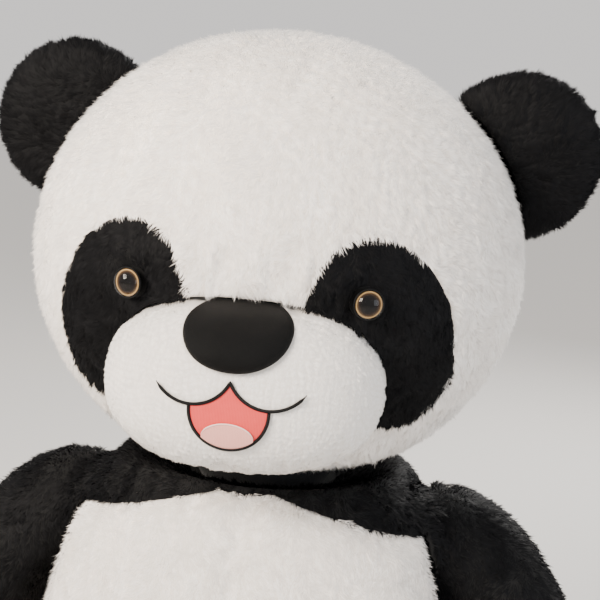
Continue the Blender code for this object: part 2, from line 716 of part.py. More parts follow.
def make_arm(name, side):
    """A black sleeve with a round paw, open at the armhole, and its filling."""
    inner = helper(arm_form(f"arm_inner_{name}", side, -PLUSH, "filling", 10))
    plane = side * (SHOULDER[0] - ARMHOLE_INSET)
    ends = sorted((plane, -side * FAR))
    armhole = helper(block(f"armhole_plane_{name}", (ends[0], -FAR, 0), (ends[1], FAR, FAR)))
    cut(arm_form(f"arm_skin_{name}", side), inner, armhole)
    cut(arm_form(f"arm_stuffing_{name}", side, -PLUSH - LOOSE, "filling", 10), armhole)


def make_leg(name, side):
    """A black leg open at the hip, the panel of its sole, and its filling."""
    inner = helper(leg_form(f"leg_inner_{name}", side, -PLUSH, "filling", 10))
    sole_y = FOOT_Y - SOLE_BULGE * FOOT_WIDTH / 2 + PLUSH
    behind = helper(block(f"leghole_plane_{name}", (-FAR, HIP_Y + LEGHOLE_INSET, -FAR), (FAR, FAR, FAR)))
    ahead = helper(block(f"sole_room_{name}", (-FAR, -FAR, -FAR), (FAR, sole_y + GAP, FAR)))
    back = helper(block(f"sole_back_{name}", (-FAR, sole_y, -FAR), (FAR, FAR, FAR)))
    cut(leg_form(f"leg_skin_{name}", side), inner, behind, ahead)
    cut(leg_form(f"foot_sole_{name}", side), back)
    cut(leg_form(f"leg_stuffing_{name}", side, -PLUSH - LOOSE, "filling", 10), behind, ahead)


def hang(name, place, patterns, under=None):
    """An empty on a joint's axis that carries the pieces which move about it, itself under another."""
    empty = bpy.data.objects.new(name, None)
    empty.location = place
    bpy.context.scene.collection.objects.link(empty)
    if under is not None:
        empty.parent = under
        empty.matrix_parent_inverse = Matrix.Translation(NECK).inverted()
    for piece in bpy.data.objects:
        moves = any(fnmatch.fnmatch(piece.name, pattern) for pattern in patterns)
        if moves and not piece.hide_render and piece.type != "EMPTY":
            piece.parent = empty
            piece.matrix_parent_inverse = Matrix.Translation(place).inverted()
    return empty


def ear_base(side):
    """Where the line from the head's centre to an ear's centre leaves the head, in the ear's own plane."""
    half = Vector((HEAD_WIDTH / 2, HEAD_DEPTH / 2, HEAD_HEIGHT / 2))
    share = 1 / math.hypot(*(at / size for at, size in zip(EAR_CENTRE, half)))
    return HEAD + Vector((side * EAR_CENTRE[0] * share, EAR_CENTRE[1], EAR_CENTRE[2] * share))


def hang_moving_pieces():
    """The neck turns in the torso, the head nods on the neck, and ears, arms and legs swing."""
    neck = hang("neck_axis", NECK, ["neck_*"])
    on_head = ["head_*", "eye_*", "muzzle_*", "nose_*", "mouth_*", "tongue_*", "*_lip_thread"]
    head = hang("head_axis", NECK, on_head, neck)
    for name, side in SIDES.items():
        hang(f"{name}_ear_axis", ear_base(side), [f"ear_*_{name}"], head)
        hang(f"{name}_shoulder", (side * SHOULDER[0], *SHOULDER[1:]), [f"arm_*_{name}"])
        hang(f"{name}_hip", (side * HIP_X, HIP_Y, LEG_Z), [f"leg_*_{name}", f"foot_*_{name}"])


def main():
    for old in list(bpy.data.objects):
        bpy.data.objects.remove(old)
    make_head()
    make_neck()
    make_torso()
    make_tail_and_trim()
    for name, side in SIDES.items():
        make_ear(name, side)
        make_arm(name, side)
        make_leg(name, side)
    hang_moving_pieces()


main()
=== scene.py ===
"""Looks of the sitting plush panda: stuffed skins, combed pile, safety eyes and an appliqued mouth."""

import json
import math

import bpy
import numpy as np
from mathutils import Matrix, Vector
from mathutils.kdtree import KDTree


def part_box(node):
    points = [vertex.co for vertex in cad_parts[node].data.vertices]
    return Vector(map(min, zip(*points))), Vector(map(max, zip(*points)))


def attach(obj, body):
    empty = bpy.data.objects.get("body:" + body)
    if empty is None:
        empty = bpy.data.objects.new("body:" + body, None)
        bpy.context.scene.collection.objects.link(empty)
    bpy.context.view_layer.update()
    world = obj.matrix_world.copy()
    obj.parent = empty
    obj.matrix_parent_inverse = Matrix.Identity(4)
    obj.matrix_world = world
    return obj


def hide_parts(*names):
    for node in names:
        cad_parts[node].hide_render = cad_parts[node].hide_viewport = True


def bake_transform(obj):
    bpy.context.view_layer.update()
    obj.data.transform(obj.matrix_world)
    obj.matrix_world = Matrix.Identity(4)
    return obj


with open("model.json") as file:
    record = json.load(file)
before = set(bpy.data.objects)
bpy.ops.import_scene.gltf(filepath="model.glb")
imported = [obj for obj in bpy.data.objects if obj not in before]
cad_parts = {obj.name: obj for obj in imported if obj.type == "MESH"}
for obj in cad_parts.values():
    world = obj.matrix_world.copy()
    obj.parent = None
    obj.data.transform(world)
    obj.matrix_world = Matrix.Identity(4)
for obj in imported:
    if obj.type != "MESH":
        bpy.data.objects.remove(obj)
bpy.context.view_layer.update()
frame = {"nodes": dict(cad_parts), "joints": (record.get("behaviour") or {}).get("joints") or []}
pivots = {joint["name"]: np.array(joint["pos_m"]) for joint in frame["joints"]}

# ---------------------------------------------------------------- head: the stuffed ball
# The head is a ball of white plush, a face and a back seamed together behind the ears and stuffed hard.
# Inner pressure rounds each panel, while the seams, the eyes' stems and the muzzle's edge hold it down.

face_low, face_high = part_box("head_front_skin")
back_low, back_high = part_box("head_back_skin")
HEAD_HALF_HEIGHT = 0.1925
head_radii = np.array((face_high.x, (back_high.y - face_low.y) / 2, HEAD_HALF_HEIGHT))
head_centre = np.array((0.0, (back_high.y + face_low.y) / 2, face_high.z - HEAD_HALF_HEIGHT))
head_seam_y = back_low.y
PILE_ROOM = 0.004  # how far the backing lies under the tips of the pressed pile
STUFFED = 0.005  # how far stuffing pushes the backing out


def ball_grid(radii, power=2.0, section=2.0, rows=60, columns=112):
    """Rings of points from the lower pole to the upper one.

    Height is sin(latitude) and spread is cos(latitude), each to the power 2 / power; round each ring the
    cosine and the sine of the longitude are raised to 2 / section.
    """
    latitude = np.linspace(-math.pi / 2, math.pi / 2, rows)[:, None]
    longitude = np.linspace(0, 2 * math.pi, columns, endpoint=False)[None, :]

    def bent(wave, to):
        return np.sign(wave) * np.abs(wave) ** (2 / to)

    spread = np.clip(np.cos(latitude), 0, 1) ** (2 / power)
    across = radii[0] * spread * bent(np.cos(longitude), section)
    along = radii[1] * spread * bent(np.sin(longitude), section)
    up = radii[2] * bent(np.sin(latitude), power) + 0 * longitude
    return np.stack([across, along, up], axis=-1)


def closed_rings(grid):
    """Points and faces over rings: the first and the last ring close in one point each."""
    rows, columns = grid.shape[:2]
    points = np.vstack([grid[0].mean(0), grid[1:-1].reshape(-1, 3), grid[-1].mean(0)])
    ring = 1 + np.arange((rows - 2) * columns).reshape(rows - 2, columns)
    after = np.roll(ring, -1, axis=1)
    quads = np.stack([ring[:-1], after[:-1], after[1:], ring[1:]], axis=-1).reshape(-1, 4)
    low = np.stack([np.zeros(columns, int), after[0], ring[0]], axis=-1)
    high = np.stack([ring[-1], after[-1], np.full(columns, len(points) - 1)], axis=-1)
    return points, [quads, low, high]


def made_piece(name, points, faces, uv=None):
    """A smooth mesh object from points, arrays of faces of one size each, and a map of corner places."""
    mesh = bpy.data.meshes.new(name)
    corners = np.concatenate([np.ravel(group) for group in faces])
    sizes = np.concatenate([np.full(len(group), group.shape[1]) for group in faces])
    mesh.vertices.add(len(points))
    mesh.vertices.foreach_set("co", np.ravel(points).astype(np.float32))
    mesh.loops.add(len(corners))
    mesh.loops.foreach_set("vertex_index", corners.astype(np.int32))
    mesh.polygons.add(len(sizes))
    mesh.polygons.foreach_set("loop_start", (np.cumsum(sizes) - sizes).astype(np.int32))
    mesh.polygons.foreach_set("use_smooth", np.ones(len(sizes), bool))
    mesh.update(calc_edges=True)
    if uv is not None:
        mesh.uv_layers.new(name="OFBake").data.foreach_set("uv", np.ravel(uv).astype(np.float32))
    made = bpy.data.objects.new(name, mesh)
    bpy.context.scene.collection.objects.link(made)
    return made


def as_arrays(shape):
    """Points and triangles of an object with its modifiers applied."""
    solved = shape.evaluated_get(bpy.context.evaluated_depsgraph_get())
    mesh = solved.to_mesh()
    mesh.calc_loop_triangles()
    points = np.empty(len(mesh.vertices) * 3, np.float32)
    triangles = np.empty(len(mesh.loop_triangles) * 3, np.int32)
    mesh.vertices.foreach_get("co", points)
    mesh.loop_triangles.foreach_get("vertices", triangles)
    solved.to_mesh_clear()
    return points.reshape(-1, 3).astype(float), triangles.reshape(-1, 3)


def stuffed(form, held, cell=0.006, pressure=30.0, most=STUFFED):
    """A closed form as cloth with stuffing in it: where held(points) is 1 a seam keeps it where it is.

    The form is rewoven in cells of one size, from cloth cut a little larger than it, and blown up by an even
    pressure, and no point goes further than most.
    """
    shape = made_piece("stuffing_bag", *form)
    weave = shape.modifiers.new("weave", "REMESH")
    weave.mode = "VOXEL"
    weave.voxel_size = cell
    points, triangles = as_arrays(shape)
    bpy.data.objects.remove(shape)
    bag = made_piece("stuffing_bag", points, [triangles])
    pins = bag.vertex_groups.new(name="seams")
    weights = held(points)
    for step in range(1, 11):
        among = np.flatnonzero(np.round(weights * 10) == step).tolist()
        pins.add(among, step / 10, "REPLACE")
    cloth = bag.modifiers.new("cloth", "CLOTH")
    cloth.settings.use_pressure = True
    cloth.settings.uniform_pressure_force = pressure
    cloth.settings.shrink_min = -0.05
    cloth.settings.mass = 0.02
    cloth.settings.effector_weights.gravity = 0.0
    cloth.settings.vertex_group_mass = "seams"
    cloth.settings.quality = 4
    cloth.collision_settings.use_collision = False
    cloth.point_cache.frame_end = 20
    for step in range(1, 21):
        bpy.context.scene.frame_set(step)
    blown, _ = as_arrays(bag)
    bpy.context.scene.frame_set(1)
    bpy.data.objects.remove(bag)
    moved = blown - points
    far = np.linalg.norm(moved, axis=1)
    return points + moved * np.minimum(1.0, most / np.maximum(far, 1e-9))[:, None], triangles


def normals_of(points, triangles):
    """Each point's normal: the sum of its triangles' area vectors, made one long."""
    corners = points[triangles]
    area = np.cross(corners[:, 1] - corners[:, 0], corners[:, 2] - corners[:, 0])
    total = np.zeros_like(points)
    for k in range(3):
        for axis in range(3):
            total[:, axis] += np.bincount(triangles[:, k], area[:, axis], len(points))
    return total / np.maximum(np.linalg.norm(total, axis=1), 1e-12)[:, None]


def dip(distance, width):
    """1 at distance 0, falling smoothly to 0 at width."""
    share = np.clip(1 - np.abs(distance) / width, 0, 1)
    return share * share * (3 - 2 * share)


def head_scale(points, grow=0.0):
    """How far points are from the head's centre, where 1 is the head's surface made larger by grow."""
    return np.linalg.norm((points - head_centre) / (head_radii + grow), axis=1)


# The dark patches are ovals that lean in at the top. The muzzle's edge is a rounded box on the lower face.
PATCH_CENTRE, PATCH_RADII, PATCH_LEAN = (0.100, -0.036), (0.055, 0.078), math.radians(12)
muzzle_low, muzzle_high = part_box("muzzle_skin")
MUZZLE_POWER, MUZZLE_FULLNESS = 2.4, 2.6
muzzle_middle = np.array((0.0, (muzzle_low.z + muzzle_high.z) / 2))
muzzle_half = np.array((muzzle_high.x, (muzzle_high.z - muzzle_low.z) / 2))


def patch_level(points):
    """Over 0 inside a patch: 1 less the squared distance from its centre in its own leaning radii."""
    x = np.abs(points[:, 0]) - PATCH_CENTRE[0]
    z = points[:, 2] - head_centre[2] - PATCH_CENTRE[1]
    u = x * math.cos(PATCH_LEAN) + z * math.sin(PATCH_LEAN)
    w = z * math.cos(PATCH_LEAN) - x * math.sin(PATCH_LEAN)
    level = 1 - np.hypot(u / PATCH_RADII[0], w / PATCH_RADII[1])
    return np.where(points[:, 1] < head_centre[1], level, -1.0) * PATCH_RADII[0]


def muzzle_level(points, shrink=0.002):
    """Over 0 behind the muzzle: 1 less the superelliptic distance from its middle."""
    x, z = np.abs(points[:, 0]), np.abs(points[:, 2] - muzzle_middle[1])
    half = muzzle_half - shrink
    level = 1 - ((x / half[0]) ** MUZZLE_POWER + (z / half[1]) ** MUZZLE_POWER) ** (1 / MUZZLE_POWER)
    return np.where(points[:, 1] < head_centre[1], level, -1.0) * half[1]


eye_spots = {}
for name in ("left", "right"):
    low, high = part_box(f"eye_lens_{name}")
    eye_spots[name] = np.array((low + high) / 2)

neck_pivot = pivots["head_nod"]
neck_low, neck_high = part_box("neck_skin")
neck_radius = neck_high.z - neck_pivot[2]


def head_held(points):
    """Where the head is held in: at its seam, the chin, the muzzle's edge, the eyes and over the neck."""
    seam = dip(points[:, 1] - head_seam_y, 0.012) * 0.8
    chin = dip(points[:, 0], 0.010) * (points[:, 2] < muzzle_low.z + 0.012) * 0.8
    muzzle = dip(muzzle_level(points), 0.012)
    eyes = sum(dip(np.linalg.norm(points - spot, axis=1), 0.030) for spot in eye_spots.values())
    neck = points[:, 2] < neck_pivot[2] + 0.004
    return np.clip(np.maximum.reduce([seam, chin, muzzle, eyes, neck * 1.0]), 0, 1)


head_form, head_faces = closed_rings(ball_grid(head_radii - PILE_ROOM - STUFFED))
head_form += head_centre
# A hollow in the underside holds the ball of the neck.
NECK_ROOM = 0.004
off_axis = np.hypot(head_form[:, 0], head_form[:, 1])
socket = neck_pivot[2] + np.sqrt(np.clip((neck_radius + NECK_ROOM) ** 2 - off_axis**2, 0, None))
under = (off_axis < neck_radius + NECK_ROOM) & (head_form[:, 2] < neck_pivot[2] + 0.03)
head_form[under, 2] = np.maximum(head_form[under, 2], socket[under])
head_points, head_triangles = stuffed((head_form, head_faces), head_held)


def snapped(points, triangles, level):
    """The points moved so that the border where level is 0 runs along edges.

    On each edge that crosses the border, the end nearer to it moves to the crossing.
    """
    points = points.copy()
    for _ in range(2):
        value = level(points)
        edges = np.sort(np.concatenate([triangles[:, [0, 1]], triangles[:, [1, 2]], triangles[:, [2, 0]]]))
        edges = np.unique(edges, axis=0)
        a, b = value[edges[:, 0]], value[edges[:, 1]]
        crossing = edges[(a * b < 0) & (np.abs(a) > 1e-6) & (np.abs(b) > 1e-6)]
        a, b = value[crossing[:, 0]], value[crossing[:, 1]]
        near_first = np.abs(a) < np.abs(b)
        mover = np.where(near_first, crossing[:, 0], crossing[:, 1])
        share = (a / (a - b))[:, None]
        spot = points[crossing[:, 0]] * (1 - share) + points[crossing[:, 1]] * share
        points[mover] = spot
    return points


def panel(name, points, triangles, inside, thick=0.002):
    """A piece of cloth: the triangles whose middle has inside over 0, given the cloth's thickness inwards."""
    kept = triangles[inside(points[triangles].mean(axis=1)) > 0]
    used, again = np.unique(kept, return_inverse=True)
    cloth = made_piece(name, points[used], [again.reshape(-1, 3)])
    wall = cloth.modifiers.new("cloth thickness", "SOLIDIFY")
    wall.thickness = thick
    wall.offset = -1.0
    return cloth


class Wire:
    """A socket in a material's tree. Sums and products of wires and numbers add Math nodes."""

    def __init__(self, tree, socket=None):
        self.tree = tree
        self.socket = socket

    def node(self, kind, settings=None, stops=None, output=0, **values):
        """Adds a node: its type, its settings and a ramp's stops, then the value or wire of each input.

        An input is named in lower case with _ for a space, or in0, in1 and so on by its place.
        """
        made = self.tree.nodes.new(kind)
        for key, value in (settings or {}).items():
            setattr(made, key, value)
        if stops:
            ramp = made.color_ramp
            ramp.elements[0].position, ramp.elements[0].color = stops[0][0], (*stops[0][1], 1)
            ramp.elements[1].position, ramp.elements[1].color = stops[-1][0], (*stops[-1][1], 1)
            for place, colour in stops[1:-1]:
                ramp.elements.new(place).color = (*colour, 1)
        named = {socket.name.lower().replace(" ", "_"): socket for socket in reversed(made.inputs)}
        for key, value in values.items():
            by_place = key.startswith("in") and key[2:].isdigit()
            socket = made.inputs[int(key[2:])] if by_place else named[key]
            if isinstance(value, Wire):
                self.tree.links.new(value.socket, socket)
            elif isinstance(value, tuple) and len(value) == 3 and socket.type == "RGBA":
                socket.default_value = (*value, 1)
            else:
                socket.default_value = value
        return Wire(self.tree, made.outputs[output])

    def sum_node(self, operation, first, second):
        return self.node("ShaderNodeMath", {"operation": operation}, in0=first, in1=second)

    def __add__(self, other):
        return self.sum_node("ADD", self, other)

    __radd__ = __add__

    def __sub__(self, other):
        return self.sum_node("SUBTRACT", self, other)

    def __rsub__(self, other):
        return self.sum_node("SUBTRACT", other, self)

    def __mul__(self, other):
        return self.sum_node("MULTIPLY", self, other)

    __rmul__ = __mul__

    def part(self, index):
        """One number of a vector: 0, 1 or 2."""
        return self.node("ShaderNodeSeparateXYZ", output=index, in0=self)

    def noise(self, scale, detail=3.0, rough=0.55):
        """Soft cloud noise from 0 to 1 that this wire is the place of."""
        return self.node("ShaderNodeTexNoise", vector=self, scale=scale, detail=detail, roughness=rough)

    def between(self, first, second):
        """The colour between two colours, first where this wire is 0."""
        settings = {"data_type": "RGBA"}
        return self.node("ShaderNodeMix", settings, output=2, in0=self, in6=first, in7=second)


def finish_of(name, steady):
    """A new Principled material with its steady values set: (material, wire to build on, inputs)."""
    made = bpy.data.materials.new(name)
    made.use_nodes = True
    shader = made.node_tree.nodes["Principled BSDF"]
    for key, value in steady.items():
        shader.inputs[key].default_value = value
    return made, Wire(made.node_tree), shader.inputs


def feed(inputs, **wires):
    """Links wires to a shader's inputs, named in lower case with _ for a space."""
    named = {socket.name.lower().replace(" ", "_"): socket for socket in inputs}
    for key, wire in wires.items():
        wire.tree.links.new(wire.socket, named[key])


def place_of(wire):
    """The place on the piece, in metres from its origin."""
    return wire.node("ShaderNodeTexCoord", output=3)


def backing_finish(name, dark, light, sheen):
    """Cloth between the roots of the pile: mottled from dark to light, and rough with pressed fibres."""
    made, wire, inputs = finish_of(
        name, {"Roughness": 0.9, "Sheen Weight": sheen, "Sheen Roughness": 0.5}
    )
    place = place_of(wire)
    mottled = place.noise(90.0, 4.0)
    fibres = place.noise(900.0, 2.0)
    feed(
        inputs,
        base_color=mottled.between(dark, light),
        normal=wire.node("ShaderNodeBump", strength=0.5, distance=0.002, height=fibres),
    )
    return made


def pile_finish(name, root, dull, bright, steady):
    """Pile blades: across their map the tone of the tuft, and along it from root to tip, the root darkened
    with painted shade.
    """
    made, wire, inputs = finish_of(name, steady)
    spot = wire.node("ShaderNodeUVMap", {"uv_map": "OFBake"})
    tip = spot.part(0).between(dull, bright)
    height = wire.node("ShaderNodeMapRange", {"interpolation_type": "SMOOTHSTEP"}, value=spot.part(1),
                       from_min=0.0, from_max=0.55)
    # The root colour, darker than the tip, is painted shade at the foot of the pile.
    feed(inputs, base_color=height.between(root, tip))
    # Light comes through a thin blade, so its back is as bright as its front.
    front = Wire(made.node_tree, made.node_tree.nodes["Principled BSDF"].outputs[0])
    back = wire.node("ShaderNodeBsdfTranslucent", color=tuple(share * 0.85 for share in bright))
    behind = wire.node("ShaderNodeNewGeometry", output=6)
    both = wire.node("ShaderNodeMixShader", in0=behind, in1=front, in2=back)
    made.node_tree.links.new(both.socket, made.node_tree.nodes["Material Output"].inputs[0])
    return made


WHITE_LOOK = {"Roughness": 0.9, "Specular IOR Level": 0.0}
BLACK_LOOK = {"Roughness": 0.6, "Specular IOR Level": 0.10}
# The white backing is darker than the pile's tips: painted shade under the pile.
white_backing_painted_shade = backing_finish("white backing", (0.70, 0.65, 0.60), (0.82, 0.78, 0.73), 0.1)
black_backing = backing_finish("black backing", (0.001, 0.001, 0.001), (0.003, 0.003, 0.0035), 0.0)
# Each pile's first colour is its root, darker than its tips: painted shade at the foot of the pile.
white_pile_root_shade = pile_finish(
    "white pile", (0.66, 0.60, 0.545), (0.79, 0.74, 0.69), (0.95, 0.92, 0.885), WHITE_LOOK
)
black_pile_root_shade = pile_finish(
    "black pile", (0.001, 0.001, 0.001), (0.002, 0.002, 0.0025), (0.0065, 0.0065, 0.0075), BLACK_LOOK
)


def ripple(points, size, seed):
    """Smooth noise, mostly from -1 to 1: nine sine waves in random directions, about size long."""
    random = np.random.default_rng(seed)
    waves = random.normal(size=(3, 9)) * 2 * math.pi / size / 1.7
    return np.sin(points @ waves + random.random(9) * 2 * math.pi).sum(1) / 2.6


def combed(name, skin, count, inside, seed, comb=(0.0, 0.0, -1.0), length=0.0085, lean=60.0,
           tuft=0.0065, width=0.00075, floor=None):
    """Blades of pile that stand on a skin where inside(points) is over 0.

    Roots are spread evenly by area. A blade leaves the skin near its normal and bends towards the nap, which
    is comb laid along the skin and swirled by smooth noise. The blades of a tuft, a cell of space, share a
    lean, a length and a tone, and their tips draw together. Each blade is a kite bent across its middle. It
    catches light as the round side of its tuft does, which is how fibres too thin to see shade.
    """
    points, triangles = skin
    random = np.random.default_rng(seed)
    middle = points[triangles].mean(axis=1)
    kept = triangles[inside(middle) > -0.004]
    corners = points[kept]
    area = np.linalg.norm(np.cross(corners[:, 1] - corners[:, 0], corners[:, 2] - corners[:, 0]), axis=1)
    pick = random.choice(len(kept), count, p=area / area.sum())
    share = random.random((count, 2))
    folded = share.sum(1) > 1
    share[folded] = 1 - share[folded]
    share = np.column_stack([1 - share.sum(1), share])[:, :, None]
    root = (corners[pick] * share).sum(1)
    up = (normals_of(points, triangles)[kept[pick]] * share).sum(1)
    grows = inside(root) > 0
    root, up = root[grows], up[grows]
    up /= np.linalg.norm(up, axis=1)[:, None]
    count = len(root)

    nap = comb(root, up) if callable(comb) else np.broadcast_to(np.array(comb, float), root.shape)
    nap = nap - up * (nap * up).sum(1)[:, None]
    nap /= np.maximum(np.linalg.norm(nap, axis=1), 1e-6)[:, None]
    swirl = 0.60 * ripple(root, 0.055, seed + 1) + 0.45 * ripple(root, 0.015, seed + 2)
    swirl += random.normal(0, 0.20, count)
    beside = np.cross(up, nap)
    nap = nap * np.cos(swirl)[:, None] + beside * np.sin(swirl)[:, None]

    warp = np.stack([ripple(root, 0.02, seed + 3 + k) for k in range(3)], axis=1) * tuft * 0.35
    cells = np.floor((root + warp) / tuft).astype(np.int64)
    _, cell = np.unique(cells, axis=0, return_inverse=True)
    cell = cell.ravel()
    size = np.bincount(cell)
    gather = np.stack([np.bincount(cell, root[:, k]) / size for k in range(3)], axis=1)[cell]
    tuft_lean = random.normal(0, 7, len(size))[cell]
    tuft_long = random.normal(1, 0.08, len(size))[cell]
    tuft_tone = random.random(len(size))[cell]

    bend = np.radians(np.clip(lean + tuft_lean + random.normal(0, 8, count), 12, 80))
    long = length * np.clip(tuft_long * random.normal(1, 0.12, count), 0.5, 1.35)
    first = up * np.cos(bend * 0.6)[:, None] + nap * np.sin(bend * 0.6)[:, None]
    second = up * np.cos(bend * 1.2)[:, None] + nap * np.sin(bend * 1.2)[:, None]
    root = root - up * 0.0006
    knee = root + first * (long * 0.45)[:, None]
    tip = knee + second * (long * 0.55)[:, None]
    pull = gather - root
    pull -= up * (pull * up).sum(1)[:, None]
    knee += pull * 0.16
    tip += pull * 0.42

    turn = random.normal(0, 0.45, count)
    flat = np.cross(first, up)
    flat /= np.maximum(np.linalg.norm(flat, axis=1), 1e-6)[:, None]
    flat = flat * np.cos(turn)[:, None] + np.cross(first, flat) * np.sin(turn)[:, None]
    wide = flat * width * random.uniform(0.7, 1.25, count)[:, None] / 2
    blades = np.stack([root, knee + wide, tip, knee - wide], axis=1)
    if floor is not None:
        blades[..., 2] = np.maximum(blades[..., 2], floor)
    tone = np.clip(0.5 + 0.16 * ripple(root, 0.035, seed + 7) + 0.26 * (tuft_tone - 0.5)
                   + random.normal(0, 0.10, count), 0.02, 0.98)
    across = np.stack([tone, tone + 0.01, tone, tone - 0.01], axis=1)
    along = np.broadcast_to(np.array((0.01, 0.45, 0.99, 0.45)), across.shape)
    quads = np.arange(count * 4).reshape(count, 4)
    made = made_piece(name, blades.reshape(-1, 3), [quads], np.stack([across, along], axis=-1))
    own = np.cross(wide, tip - root)
    own /= np.maximum(np.linalg.norm(own, axis=1), 1e-12)[:, None]
    shade = up + own * 0.35 - pull * (0.55 / tuft) + nap * 0.15
    shade /= np.linalg.norm(shade, axis=1)[:, None]
    made.data.normals_split_custom_set_from_vertices(np.repeat(shade, 4, axis=0))
    return made


def dress(skin, pile, body, backing, finish, nodes=()):
    """A skin and its pile ride on one body, and the skin stands for the nodes of its cloth and filling."""
    for shape, look in ((skin, backing), (pile, finish)):
        if shape is not None:
            shape.data.materials.append(look)
            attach(shape, body)
    if pile is not None:
        pile.visible_shadow = False
    if skin is not None:
        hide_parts(*nodes)


def on_face(points):
    """Over 0 on the white of the face: ahead of the seam, outside the patches and the muzzle."""
    ahead = head_seam_y - 0.0002 - points[:, 1]
    return np.minimum.reduce([ahead, -patch_level(points), -muzzle_level(points)])


def off_muzzle(points):
    """Over 0 where a blade that hangs down still ends above the muzzle's seam."""
    return -muzzle_level(points + (0.0, 0.0, -0.005))


def on_back(points):
    return points[:, 1] - head_seam_y


def nap_of_head(root, up):
    """The nap of the head runs down and a little outwards from the middle of the forehead."""
    away = root - head_centre
    away[:, 2] = 0
    return np.array((0.0, 0.0, -1.0)) + away * 3.0


for border in (patch_level, muzzle_level, on_back):
    head_points = snapped(head_points, head_triangles, border)
head_skin = (head_points, head_triangles)


def face_pile_room(points):
    """Over 0 where white pile grows: it keeps off the stuffing's hollow for the neck."""
    clear = np.hypot(points[:, 0], points[:, 1]) - neck_radius + 0.006
    white = np.minimum(on_face(points), off_muzzle(points))
    return np.where(points[:, 2] < neck_pivot[2] + 0.02, np.minimum(clear, white), white)


def back_pile_room(points):
    clear = np.hypot(points[:, 0], points[:, 1]) - neck_radius + 0.006
    return np.where(points[:, 2] < neck_pivot[2] + 0.02, np.minimum(clear, on_back(points)), on_back(points))


face = panel("face", head_points, head_triangles, on_face)
BROW_Z = head_centre[2] + 0.045
brow_pile = combed(
    "brow_pile", head_skin, 97000, lambda p: np.minimum(face_pile_room(p), p[:, 2] - BROW_Z), 11, nap_of_head
)
cheek_pile = combed(
    "cheek_pile", head_skin, 97000, lambda p: np.minimum(face_pile_room(p), BROW_Z - p[:, 2]), 13, nap_of_head
)
dress(face, brow_pile, "head", white_backing_painted_shade, white_pile_root_shade, ["head_front_skin", "head_stuffing"])
dress(None, cheek_pile, "head", None, white_pile_root_shade)
back_of_head = panel("back_of_head", head_points, head_triangles, on_back)
back_pile = combed("back_of_head_pile", head_skin, 95000, back_pile_room, 12, nap_of_head, width=0.0009)
dress(back_of_head, back_pile, "head", white_backing_painted_shade, white_pile_root_shade, ["head_back_skin"])

# ---------------------------------------------------------------- eye patches
# Two leaning ovals of black plush are set into the face. Their pile is a little shorter, and its tips
# break up the line where black meets white.


def on_patch(side):
    def level(points):
        return np.minimum.reduce([patch_level(points), -muzzle_level(points), side * points[:, 0]])

    return level


for name, side, seed in (("left", 1, 21), ("right", -1, 31)):
    patch = panel(f"patch_{name}", head_points, head_triangles, on_patch(side))

    def pile_room(points, level=on_patch(side), spot=eye_spots[name]):
        """The pile is clipped away under the eye."""
        return np.minimum(level(points), np.linalg.norm(points - spot, axis=1) - 0.0125)

    patch_pile = combed(f"patch_pile_{name}", head_skin, 26000, pile_room, seed, nap_of_head, length=0.0075)
    dress(patch, patch_pile, "head", black_backing, black_pile_root_shade, [f"eye_patch_{name}"])

# ---------------------------------------------------------------- eyes
# A safety eye is a clear domed lens over a printed disc: an amber ring with a thin dark rim round a black
# pupil. Its ribbed stem goes through the patch, and a washer inside the head locks it.

eye_frames = {}
for name, side in (("left", 1), ("right", -1)):
    washer = sum(map(np.array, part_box(f"eye_washer_{name}"))) / 2
    outward = eye_spots[name] - washer
    outward /= np.linalg.norm(outward)
    frame_of_eye = Vector(outward).to_track_quat("Z", "Y").to_matrix()
    eye_frames[name] = np.array(frame_of_eye)


def turned_rings(profile, columns=64):
    """Rings of points about +Z from (radius, height) pairs; the first and the last pair lie on the axis."""
    angle = np.linspace(0, 2 * math.pi, columns, endpoint=False)
    profile = np.array(profile, float)
    return np.stack([
        profile[:, :1] * np.cos(angle), profile[:, :1] * np.sin(angle), profile[:, 1:] + 0 * angle
    ], axis=-1)


def disc_map(points, faces, reach):
    """A map that looks at a disc from above, with its middle at (0.5, 0.5) and reach at the edge."""
    flat = points[:, :2] / reach / 2 + 0.5
    return np.concatenate([flat[np.ravel(group)] for group in faces])


def lens_finish():
    """Clear acrylic: see-through, and a mirror where it is looked at from the side."""
    made, wire, inputs = finish_of("clear acrylic", {"Alpha": 0.0, "Roughness": 0.03})
    tree = made.node_tree
    mirror = tree.nodes.new("ShaderNodeBsdfPrincipled")
    mirror.inputs["Metallic"].default_value = 1.0
    mirror.inputs["Roughness"].default_value = 0.03
    mirror.inputs["Base Color"].default_value = (1, 1, 1, 1)
    outside = 1 - wire.node("ShaderNodeNewGeometry", output=6)
    mix = wire.node("ShaderNodeMixShader", in0=wire.node("ShaderNodeFresnel", ior=1.3) * outside)
    tree.links.new(tree.nodes["Principled BSDF"].outputs[0], mix.socket.node.inputs[1])
    tree.links.new(mirror.outputs[0], mix.socket.node.inputs[2])
    tree.links.new(mix.socket, tree.nodes["Material Output"].inputs[0])
    return made


def iris_finish():
    """Print under the lens: black pupil, brown and then amber ring, dark rim, lightly streaked outwards."""
    made, wire, inputs = finish_of("printed iris", {"Roughness": 0.5, "Specular IOR Level": 0.05})
    flat = wire.node("ShaderNodeUVMap", {"uv_map": "OFBake"})
    x, y = flat.part(0) - 0.5, flat.part(1) - 0.5
    away = wire.sum_node("SQRT", x * x + y * y, 0.0) * 2
    streaks = flat.noise(60.0, 2.0) * 0.06
    ring = wire.node("ShaderNodeValToRGB", in0=away + streaks, stops=[
        (0.0, (0.002, 0.002, 0.002)), (0.64, (0.003, 0.002, 0.002)), (0.74, (0.020, 0.011, 0.006)),
        (0.86, (0.065, 0.036, 0.016)), (0.91, (0.30, 0.18, 0.07)), (0.97, (0.52, 0.34, 0.14)),
        (1.0, (0.12, 0.065, 0.025)),
    ])
    feed(inputs, base_color=ring)
    return made


